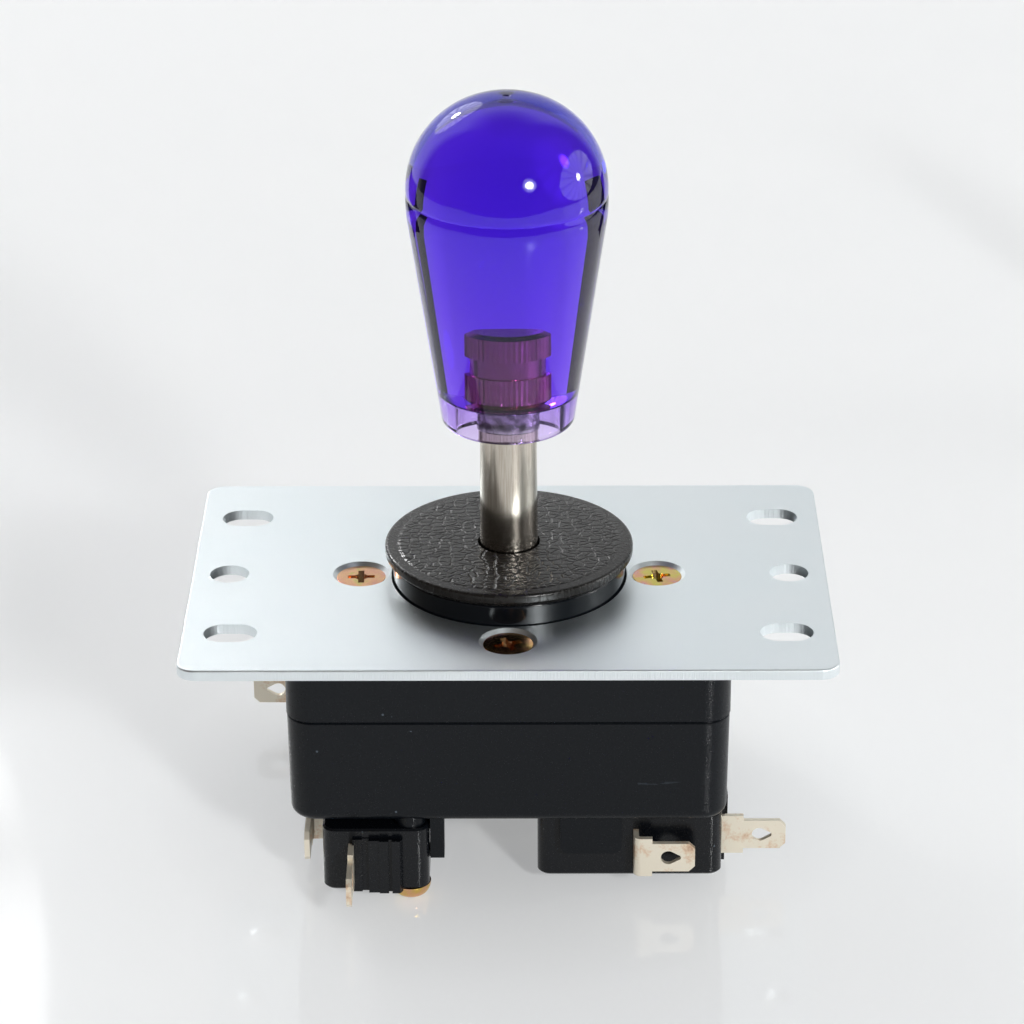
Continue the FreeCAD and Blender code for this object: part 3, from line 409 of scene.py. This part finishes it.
def tinned_brass(shade):
    """Stamped terminals with dull tin."""
    material, tree, shader = surface("tinned_brass", {"Metallic": 0.55, "Roughness": 0.36})
    # Stamped brass strip under dull tin, stained brown where it was handled
    stain = noise(tree, 3.2, 4)
    spots = noise(tree, 0.35, 2)
    aged = math_node(tree, "ADD", stain, math_node(tree, "MULTIPLY", spots, 0.3))
    tree.links.new(ramp(tree, aged, [(0.68, shade), (0.82, colour("#e6cbae")),
                                     (0.98, colour("#b98d70"))]), shader.inputs["Base Color"])
    tree.links.new(remap(tree, spots, 0.3, 0.7, 0.28, 0.44), shader.inputs["Roughness"])
    bump(tree, shader, spots, 0.02)
    return material


def plain(name, shade, roughness, metallic=0.0, grain_mm=0.4):
    """A plain inner finish with a fine skin."""
    material, tree, shader = surface(name, {"Roughness": roughness, "Metallic": metallic})
    skin = noise(tree, grain_mm, 3)
    dark = tuple(part * 0.75 for part in shade[:3]) + (1.0,)
    tree.links.new(mix(tree, skin, dark, shade), shader.inputs["Base Color"])
    bump(tree, shader, skin, 0.02)
    return material


def dress(names, material):
    """Give CAD nodes a material."""
    for name in names:
        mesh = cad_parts[name].data
        mesh.materials.clear()
        mesh.materials.append(material)


def at_stations(name):
    """A name for each of the four switches."""
    return [name + "_" + place for place in STATIONS]


def lathe(bm, profile, turns):
    """Spin a profile of (radius, height, rounding) corners about Z."""
    corners = [bm.verts.new((r, 0, z)) for r, z, rounding in profile]
    for pair in zip(corners, corners[1:]):
        bm.edges.new(pair)
    for corner, (r, z, rounding) in zip(corners, profile):
        if rounding:
            steps = 32 if rounding > 5 * MM else 5
            bmesh.ops.bevel(bm, geom=[corner], offset=rounding, affect="VERTICES",
                            segments=steps, profile=0.5, material=-1)
    bmesh.ops.spin(bm, geom=list(bm.verts) + list(bm.edges), cent=(0, 0, 0), axis=(0, 0, 1),
                   angle=math.tau, steps=turns, use_merge=True)
    bmesh.ops.remove_doubles(bm, verts=bm.verts, dist=1e-7)
    bmesh.ops.recalc_face_normals(bm, faces=bm.faces)


def made_object(name, bm, material, body, replaced, sharp_deg=32):
    """A piece from a bmesh, smooth but for its sharp edges."""
    mesh = bpy.data.meshes.new(name)
    bm.to_mesh(mesh)
    bm.free()
    mesh.shade_smooth()
    mesh.set_sharp_from_angle(angle=math.radians(sharp_deg))
    mesh.materials.append(material)
    piece = bpy.data.objects.new(name, mesh)
    bpy.context.scene.collection.objects.link(piece)
    if body:
        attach(piece, body)
    if replaced:
        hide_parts(replaced)
    return piece


def knob_profile(s):
    """The knob's corners from the crown down the outside and up its recess."""
    top = s.seam_z + s.radius
    ceiling = s.bottom_z + s.recess_depth
    notch = s.seam_depth * 1.4
    return [
        (0, top - s.gate_depth, 0),
        (s.gate_r * 0.6, top - s.gate_depth, 0.15 * MM),
        (s.gate_r, top, 0.05 * MM),
        (s.radius, top, s.radius - s.gate_r - 0.06 * MM),
        (s.radius, s.seam_z + notch, 0),
        (s.radius - s.seam_depth, s.seam_z, 0),
        (s.radius, s.seam_z - notch, 0),
        (s.radius, s.cone_top_z, 0.9 * MM),
        (s.neck_r, s.bottom_z, s.edge_r),
        (s.recess_r, s.bottom_z, 0.25 * MM),
        (s.recess_r, ceiling, 0.3 * MM),
        (0, ceiling, 0),
    ]


def insert_profile(s):
    """The insert's corners from the top down the outside and up the bore."""
    c = s.chamfer
    return [
        (0, s.top_z, 0), (s.knurl_r - c, s.top_z, 0), (s.knurl_r, s.top_z - c, 0),
        (s.knurl_r, s.high_z, 0), (s.waist_r, s.high_z, 0), (s.waist_r, s.waist_z, 0),
        (s.knurl_r, s.waist_z, 0), (s.knurl_r, s.low_z + c, 0), (s.knurl_r - c, s.low_z, 0),
        (s.foot_r, s.low_z, 0), (s.foot_r, s.foot_z, 0.25 * MM), (s.bore_r, s.foot_z, 0),
        (s.bore_r, s.bore_z, 0), (0, s.bore_z, 0),
    ]


def knurled(bm, s):
    """Draw in the corners between the ridges, half way on both sides and whole in the middle."""
    for corner in bm.verts:
        out = math.hypot(corner.co.x, corner.co.y)
        if abs(out - s.knurl_r) > 0.01 * MM:
            continue
        step = round(math.atan2(corner.co.y, corner.co.x) / math.tau * s.ridges * 4) % 4
        share = (0, 0.5, 1, 0.5)[step]
        fit = 1 - share * s.depth / s.knurl_r
        bmesh.ops.scale(bm, verts=[corner], vec=(fit, fit, 1))


def cross_cutter(s, top_z, flip):
    """The cutter for a cross recess, point down from top_z, or up when flipped."""
    bm = bmesh.new()
    for angle in (0, 90):
        made = bmesh.ops.create_cube(bm, size=1)["verts"]
        bmesh.ops.scale(bm, verts=made, vec=(s.wing_span, s.wing_width, s.wing_depth))
        low = [v for v in made if v.co.z < 0]
        bmesh.ops.scale(bm, verts=low, vec=(0.28, 0.6, 1))
        bmesh.ops.rotate(bm, verts=made, matrix=Matrix.Rotation(math.radians(angle), 3, "Z"))
    bmesh.ops.translate(bm, verts=bm.verts, vec=(0, 0, -s.wing_depth / 2 + 0.1 * MM))
    cone = bmesh.ops.create_cone(bm, segments=20, radius1=0.25 * MM, radius2=1.05 * MM,
                                 depth=s.wing_depth * 1.15, cap_ends=True)["verts"]
    bmesh.ops.translate(bm, verts=cone, vec=(0, 0, -s.wing_depth * 0.575 + 0.12 * MM))
    if flip:
        bmesh.ops.rotate(bm, verts=bm.verts, matrix=Matrix.Rotation(math.pi, 3, "X"))
    bmesh.ops.translate(bm, verts=bm.verts, vec=(0, 0, top_z))
    return bm


def cut_recess(bm, cutter):
    """The piece's bmesh less the cutter's."""
    made = []
    for name, source in (("blank", bm), ("cutter", cutter)):
        mesh = bpy.data.meshes.new(name)
        source.to_mesh(mesh)
        source.free()
        made.append(bpy.data.objects.new(name, mesh))
        bpy.context.scene.collection.objects.link(made[-1])
    step = made[0].modifiers.new("recess", "BOOLEAN")
    step.object = made[1]
    step.operation = "DIFFERENCE"
    step.solver = "EXACT"
    step.use_self = True
    shown = made[0].evaluated_get(bpy.context.evaluated_depsgraph_get())
    out = bmesh.new()
    out.from_mesh(shown.to_mesh())
    for piece in made:
        bpy.data.meshes.remove(piece.data)
    return out


def sunk_profile(s):
    """A countersunk screw's corners, from the top to the tip."""
    neck_z = s.sunk_top_z - (s.sunk_head_r - s.sunk_shank_r)
    bevel = s.sunk_shank_r / 4
    return [
        (0, s.sunk_top_z, 0),
        (s.sunk_head_r, s.sunk_top_z, 0.12 * MM),
        (s.sunk_shank_r, neck_z, 0),
        (s.sunk_shank_r, s.sunk_tip_z + bevel, 0),
        (s.sunk_shank_r - bevel, s.sunk_tip_z, 0),
        (0, s.sunk_tip_z, 0),
    ]


def round_profile(s, seat_z, tip_z):
    """A round-headed screw's corners, from the dome below to the tip above."""
    low = seat_z - s.round_head_h
    return [
        (0, low, 0),
        (s.round_head_r * 0.62, low + 0.12 * MM, 0.9 * MM),
        (s.round_head_r, seat_z - s.round_head_h * 0.42, 0.8 * MM),
        (s.round_head_r, seat_z, 0),
        (s.round_shank_r, seat_z, 0),
        (s.round_shank_r, tip_z, 0),
        (0, tip_z, 0),
    ]


class LEVER_OT_stage(bpy.types.Operator):
    """Lay the sheet and set the lamps, the room and the camera"""
    bl_idname = "lever.stage"
    bl_label = "Studio"

    def execute(self, context):
        s = context.scene.lever_studio
        sheet(context, s)
        for (name, *aim), power in zip(KEY_LAMPS, (s.core_power, s.key_power, s.halo_power)):
            lamp(context, name, *aim, power)
        umbrella(context, "side_umbrella", 93, 11, 1.10, 1.20, 0.74, s.side_glow)
        umbrella(context, "back_umbrella", -150, 28, 1.25, 0.70, 0.62, s.back_glow)
        # Two dark cards behind, outside the picture, draw the dark streaks down the knob's sides
        flag(context, "right_flag", 134.5, 5.0, colour("#0c140f"), s)
        flag(context, "left_flag", -129.5, 11.5, colour("#2c130d"), s)
        room(context, s)
        eye = bpy.data.cameras.new("camera")
        eye.lens = CAMERA_LENS
        eye.sensor_width = CAMERA_SENSOR
        eye.clip_start = 0.01
        viewer = bpy.data.objects.new("camera", eye)
        turn = Matrix.Rotation(math.radians(CAMERA_TURN), 4, "Z")
        tip = Matrix.Rotation(math.radians(90 - CAMERA_TIP), 4, "X")
        lean = Matrix.Rotation(math.radians(CAMERA_LEAN), 4, "Z")
        place = Matrix.Translation([side * MM for side in CAMERA_PLACE])
        viewer.matrix_world = place @ turn @ tip @ lean
        context.scene.collection.objects.link(viewer)
        context.scene.camera = viewer
        context.scene.view_settings.view_transform = "Standard"
        return {"FINISHED"}


def sheet(context, s):
    """A white sheet that runs back from under the lever and curves up behind it."""
    bm = bmesh.new()
    line = [(-0.45, s.floor_z), (0.75, s.floor_z), (1.2, s.floor_z), (1.2, 1.0)]
    points = [bm.verts.new((-s.sheet_half, y, z)) for y, z in line]
    for pair in zip(points, points[1:]):
        bm.edges.new(pair)
    bmesh.ops.bevel(bm, geom=[points[2]], offset=0.4, affect="VERTICES", segments=16, profile=0.5,
                    material=-1)
    made = bmesh.ops.extrude_edge_only(bm, edges=list(bm.edges))["geom"]
    far = [v for v in made if isinstance(v, bmesh.types.BMVert)]
    bmesh.ops.translate(bm, verts=far, vec=(2 * s.sheet_half, 0, 0))
    bmesh.ops.recalc_face_normals(bm, faces=bm.faces)
    mesh = bpy.data.meshes.new("sheet")
    bm.to_mesh(mesh)
    bm.free()
    mesh.shade_smooth()
    # White acrylic with painted light: it glows though it is no lamp, standing in for the light that
    # falls on it, dims to the back, and has a painted shade under the lever; it mirrors weakly
    material, tree, shader = surface("painted_glow_sheet", {"Roughness": 0.05, "IOR": 1.5,
                                                     "Emission Color": (0.975, 0.988, 1.0, 1.0)})
    tree.links.new(mix(tree, noise(tree, 60, 1), s.floor_tint, colour("#babcbd")),
                   shader.inputs["Base Color"])
    where = add(tree, "SeparateXYZ", {"Vector": add(tree, "TexCoord").outputs["Object"]})
    level = add(tree, "CombineXYZ", {"X": where.outputs["X"], "Y": where.outputs["Y"]})
    out = add(tree, "VectorMath", {0: level.outputs["Vector"]}, operation="LENGTH").outputs["Value"]
    along = remap(tree, where.outputs["Y"], -30 * MM, 70 * MM, s.glow, s.far_painted_glow)
    # Painted shade: glow taken away round the lever's axis, where the lever would shade the sheet
    under = remap(tree, out, 8 * MM, 58 * MM, s.painted_shade_under, 0.0)
    tree.links.new(math_node(tree, "SUBTRACT", along, under), shader.inputs["Emission Strength"])
    staged(context, "sheet", mesh, material, Matrix())


def staged(context, name, mesh, material, place):
    """A piece of the studio, which isn't part of the lever."""
    mesh.materials.append(material)
    made = bpy.data.objects.new(name, mesh)
    made.matrix_world = place
    context.scene.collection.objects.link(made)


def room(context, s):
    """White card behind the lever, and a dim room round the rest."""
    world = context.scene.world or bpy.data.worlds.new("room")
    context.scene.world = world
    world.use_nodes = True
    sky = world.node_tree
    shine = sky.nodes["Background"]
    way = add(sky, "SeparateXYZ", {"Vector": add(sky, "TexCoord").outputs["Generated"]})
    level = add(sky, "CombineXYZ", {"X": way.outputs["X"], "Y": way.outputs["Y"]})
    flat = add(sky, "VectorMath", {0: level.outputs["Vector"]}, operation="NORMALIZE")
    # The card comes further round on the left, where the umbrella doesn't stand
    apart = add(sky, "SeparateXYZ", {"Vector": flat.outputs["Vector"]})
    round_left = math_node(sky, "MULTIPLY", apart.outputs["X"], 0.15)
    ahead = math_node(sky, "SUBTRACT", apart.outputs["Y"], round_left)
    card = math_node(sky, "MULTIPLY", remap(sky, ahead, 0.50, 0.68, 0.0, 1.0),
                     remap(sky, way.outputs["Z"], 0.75, 0.95, 1.0, 0.0))
    sky.links.new(remap(sky, card, 0.0, 1.0, s.room, s.backdrop), shine.inputs["Strength"])
    side = remap(sky, way.outputs["X"], -0.3, 0.3, 0.0, 1.0)
    walls = mix(sky, side, colour("#d8c8bc"), colour("#c8d0cc"))
    sky.links.new(mix(sky, card, walls, colour("#fafcff")), shine.inputs["Color"])


def aimed(azimuth, height, distance, z=AIM_Z):
    """The place that looks at the lever's axis at z from a direction in degrees."""
    around, up = math.radians(azimuth), math.radians(height)
    way = Vector((math.sin(around) * math.cos(up), -math.cos(around) * math.cos(up), math.sin(up)))
    turn = way.to_track_quat("Z", "Y").to_matrix().to_4x4()
    return Matrix.Translation(way * distance + Vector((0, 0, z))) @ turn


def lamp(context, name, azimuth, height, distance, across, power):
    """A round lamp that looks at the lever."""
    data = bpy.data.lights.new(name, "AREA")
    data.shape = "DISK"
    data.size = across
    data.energy = power
    made = bpy.data.objects.new(name, data)
    made.matrix_world = aimed(azimuth, height, distance)
    context.scene.collection.objects.link(made)


def umbrella(context, name, azimuth, height, distance, wide, tall, glow):
    """A white umbrella with its ribs and its bulb, seen in the knob."""
    bm = bmesh.new()
    bmesh.ops.create_circle(bm, segments=64, radius=0.5, cap_ends=True)
    bmesh.ops.scale(bm, verts=bm.verts, vec=(wide, tall, 1))
    mesh = bpy.data.meshes.new(name)
    bm.to_mesh(mesh)
    bm.free()
    material, tree, shader = surface(name, {"Base Color": (0, 0, 0, 1), "Roughness": 1.0,
                                            "Specular IOR Level": 0.0,
                                            "Emission Color": (1.0, 1.0, 1.0, 1.0)})
    # Sixteen stretched panels, brighter between the ribs and round the bulb
    where = add(tree, "TexCoord").outputs["Object"]
    apart = add(tree, "SeparateXYZ", {"Vector": where})
    angle = math_node(tree, "ARCTAN2", apart.outputs["Y"], apart.outputs["X"])
    wave = math_node(tree, "ABSOLUTE", math_node(tree, "SINE", math_node(tree, "MULTIPLY", angle, 8.0)))
    panels = remap(tree, wave, 0.0, 0.8, 0.45, 1.1)
    out = add(tree, "VectorMath", {0: where}, operation="LENGTH").outputs["Value"]
    bulb = remap(tree, out, 0.02, 0.07, 30.0, 0.0)
    light = math_node(tree, "MULTIPLY", math_node(tree, "ADD", panels, bulb), glow)
    tree.links.new(light, shader.inputs["Emission Strength"])
    staged(context, name, mesh, material, aimed(azimuth, height, distance))


def flag(context, name, azimuth, spread, shade, s):
    """A dark card that stands on the sheet, spread degrees to each side of its direction."""
    bm = bmesh.new()
    bmesh.ops.create_grid(bm, x_segments=1, y_segments=1, size=0.5)
    wide = 2 * s.flag_distance * math.tan(math.radians(spread))
    bmesh.ops.scale(bm, verts=bm.verts, vec=(wide, s.flag_height, 1))
    mesh = bpy.data.meshes.new(name)
    bm.to_mesh(mesh)
    bm.free()
    material = surface(name, {"Base Color": shade, "Roughness": 0.7})[0]
    staged(context, name, mesh, material,
           aimed(azimuth, 0, s.flag_distance, s.floor_z + s.flag_height / 2))


class LEVER_OT_plate(bpy.types.Operator):
    """Finish the mounting plate"""
    bl_idname = "lever.plate"
    bl_label = "Mounting plate"

    def execute(self, context):
        dress(["mounting_plate"], zinc_plated_steel(tuple(context.scene.lever_finishes.zinc)))
        return {"FINISHED"}


class LEVER_OT_screws(bpy.types.Operator):
    """Make the cross-head screws"""
    bl_idname = "lever.screws"
    bl_label = "Screws"

    def execute(self, context):
        s = context.scene.lever_screws
        for place in STATIONS:
            node = "plate_screw_" + place
            low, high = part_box(node)
            bm = bmesh.new()
            lathe(bm, sunk_profile(s), 48)
            bm = cut_recess(bm, cross_cutter(s, s.sunk_top_z, False))
            bmesh.ops.rotate(bm, verts=bm.verts, matrix=Matrix.Rotation(SCREW_TURNS[place], 3, "Z"))
            middle = (low + high) / 2
            bmesh.ops.translate(bm, verts=bm.verts, vec=(middle.x, middle.y, 0))
            film = yellow_zinc("yellow_zinc_" + place, colour(SCREW_TONES[place]))
            made_object("sunk_screw_" + place, bm, film, "root", node)
        material = yellow_zinc("yellow_zinc", tuple(context.scene.lever_finishes.gold))
        for number, place in enumerate(STATIONS):
            node = "switch_screw_" + place
            low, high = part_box(node)
            seat = low.z + s.round_head_h
            bm = bmesh.new()
            lathe(bm, round_profile(s, seat, high.z), 48)
            bm = cut_recess(bm, cross_cutter(s, low.z, True))
            middle = (low + high) / 2
            turn = Matrix.Rotation(SWITCH_SCREW_STEP * number, 3, "Z")
            bmesh.ops.rotate(bm, verts=bm.verts, matrix=turn)
            bmesh.ops.translate(bm, verts=bm.verts, vec=(middle.x, middle.y, 0))
            made_object("round_screw_" + place, bm, material, "root", node)
        return {"FINISHED"}


class LEVER_OT_housing(bpy.types.Operator):
    """Finish the cover, the housing and the gate"""
    bl_idname = "lever.housing"
    bl_label = "Housing"

    def execute(self, context):
        finishes = context.scene.lever_finishes
        body = moulded_plastic("black_abs", tuple(finishes.black), 0.3, 3.0, 0.012, 0.22)
        dress(["top_cover", "lower_housing"], body)
        ring = moulded_plastic("gloss_collar", tuple(finishes.black), 0.12, 3.0, 0.004, 0.3)
        dress(["collar"], ring)
        dress(["restrictor_gate"], plain("gate_acetal", colour("#1c1e21"), 0.4))
        return {"FINISHED"}


class LEVER_OT_knob(bpy.types.Operator):
    """Make the clear knob"""
    bl_idname = "lever.knob"
    bl_label = "Bat knob"

    def execute(self, context):
        s = context.scene.lever_knob
        finishes = context.scene.lever_finishes
        bm = bmesh.new()
        lathe(bm, knob_profile(s), s.turns)
        material = clear_violet(finishes.violet, finishes.violet_density)
        made_object("clear_knob", bm, material, "stick", "bat_knob", 40)
        return {"FINISHED"}


class LEVER_OT_insert(bpy.types.Operator):
    """Make the knurled insert inside the knob"""
    bl_idname = "lever.insert"
    bl_label = "Insert"

    def execute(self, context):
        s = context.scene.lever_insert
        bm = bmesh.new()
        lathe(bm, insert_profile(s), s.ridges * 4)
        knurled(bm, s)
        material = turned_insert(tuple(context.scene.lever_finishes.brass), s.low_z)
        made_object("rolled_insert", bm, material, "stick", "knob_insert", 35)
        return {"FINISHED"}


class LEVER_OT_shaft(bpy.types.Operator):
    """Finish the shaft and what it carries"""
    bl_idname = "lever.shaft"
    bl_label = "Shaft"

    def execute(self, context):
        shade = tuple(context.scene.lever_finishes.nickel)
        dress(["shaft"], ground_nickel("ground_nickel", shade, 0.2))
        dress(["spacer_tube"], ground_nickel("drawn_tube", colour("#b8b4ae"), 0.28))
        nylon = plain("nylon", colour("#d8d4c8"), 0.38)
        dress(["pivot_bushing", "actuator"], nylon)
        dress(["retaining_clip"], plain("spring_clip", colour("#8f8a80"), 0.3, 1.0))
        return {"FINISHED"}


class LEVER_OT_washers(bpy.types.Operator):
    """Make the dust washer and finish the inner one"""
    bl_idname = "lever.washers"
    bl_label = "Dust washers"

    def execute(self, context):
        s = context.scene.lever_washer
        top = s.under_z + s.thickness
        material = grained_washer(tuple(context.scene.lever_finishes.grain), s.plain_r)
        bm = bmesh.new()
        lathe(bm, [
            (s.hole_r, top, 0.12 * MM),
            (s.radius, top, 0.5 * MM),
            (s.radius, s.under_z + 0.9 * MM, 0.1 * MM),
            (s.radius - 0.9 * MM, s.under_z, 0.1 * MM),
            (s.relief_r, s.under_z, 0.1 * MM),
            (s.relief_r, top - s.land, 0.1 * MM),
            (s.hole_r, top - s.land, 0.1 * MM),
            (s.hole_r, top, 0),
        ], 192)
        made_object("grained_dust_washer", bm, material, "washer", "dust_washer")
        dress(["lower_dust_washer"], material)
        return {"FINISHED"}


class LEVER_OT_mount(bpy.types.Operator):
    """Make the rubber mount"""
    bl_idname = "lever.mount"
    bl_label = "Rubber mount"

    def execute(self, context):
        s = context.scene.lever_mount
        low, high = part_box("tension_grommet")
        rim = high.x
        bm = bmesh.new()
        lathe(bm, [
            (s.top_r, high.z, 0),
            (s.hub_r, high.z, 0.4 * MM),
            (s.shoulder_r, s.shelf_z, 0.8 * MM),
            (rim, s.shelf_z, 0.4 * MM),
            (rim, s.foot_z, 0.4 * MM),
            (s.root_r, s.foot_z, 0.4 * MM),
            (s.hub_r, low.z, 0.15 * MM),
            (s.low_r, low.z, 0),
            (s.waist_r, s.pivot_z, 0),
            (s.top_r, high.z, 0),
        ], 96)
        rubber = plain("soft_rubber", colour("#191a1b"), 0.62)
        piece = made_object("rubber_mount_ring", bm, rubber, None, None)
        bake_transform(piece)
        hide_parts("tension_grommet")
        return {"FINISHED"}


class LEVER_OT_switches(bpy.types.Operator):
    """Finish the microswitches"""
    bl_idname = "lever.switches"
    bl_label = "Microswitches"

    def execute(self, context):
        shade = tuple(context.scene.lever_finishes.switch)
        body = moulded_plastic("switch_thermoset", shade, 0.24, 2.4, 0.008, 0.32)
        dress(at_stations("switch_base") + at_stations("switch_cover"), body)
        dress(at_stations("plunger"), plain("plunger_red", colour("#8c2a22"), 0.35))
        spring = plain("spring_steel", colour("#b9b6ae"), 0.26, 1.0)
        dress(at_stations("switch_lever") + at_stations("snap_blade"), spring)
        return {"FINISHED"}


class LEVER_OT_terminals(bpy.types.Operator):
    """Finish the terminals"""
    bl_idname = "lever.terminals"
    bl_label = "Terminals"

    def execute(self, context):
        tin = tinned_brass(tuple(context.scene.lever_finishes.tin))
        dress(at_stations("end_terminal") + at_stations("side_terminal"), tin)
        return {"FINISHED"}


STEPS = (LEVER_OT_stage, LEVER_OT_plate, LEVER_OT_screws, LEVER_OT_housing, LEVER_OT_knob,
         LEVER_OT_insert, LEVER_OT_shaft, LEVER_OT_washers, LEVER_OT_mount, LEVER_OT_switches,
         LEVER_OT_terminals)


class LEVER_PT_panel(bpy.types.Panel):
    """Buttons for each group of pieces"""
    bl_idname = "LEVER_PT_panel"
    bl_label = "Joystick lever"
    bl_space_type = "VIEW_3D"
    bl_region_type = "UI"
    bl_category = "Lever"

    def draw(self, context):
        for step in STEPS:
            self.layout.operator(step.bl_idname)


GROUPS = {"lever_knob": KnobSizes, "lever_insert": InsertSizes, "lever_washer": WasherSizes,
          "lever_screws": ScrewSizes, "lever_mount": MountSizes, "lever_studio": StudioSettings,
          "lever_finishes": Finishes}


def register():
    """Register the settings, the operators and the panel."""
    for name, group in GROUPS.items():
        bpy.utils.register_class(group)
        setattr(bpy.types.Scene, name, PointerProperty(type=group))
    for step in STEPS:
        bpy.utils.register_class(step)
    bpy.utils.register_class(LEVER_PT_panel)


def unregister():
    """Take back what register added."""
    bpy.utils.unregister_class(LEVER_PT_panel)
    for step in reversed(STEPS):
        bpy.utils.unregister_class(step)
    for name, group in reversed(GROUPS.items()):
        delattr(bpy.types.Scene, name)
        bpy.utils.unregister_class(group)


def main():
    """Build every piece."""
    register()
    for step in STEPS:
        group, name = step.bl_idname.split(".")
        getattr(getattr(bpy.ops, group), name)()


if __name__ == "__main__":
    main()
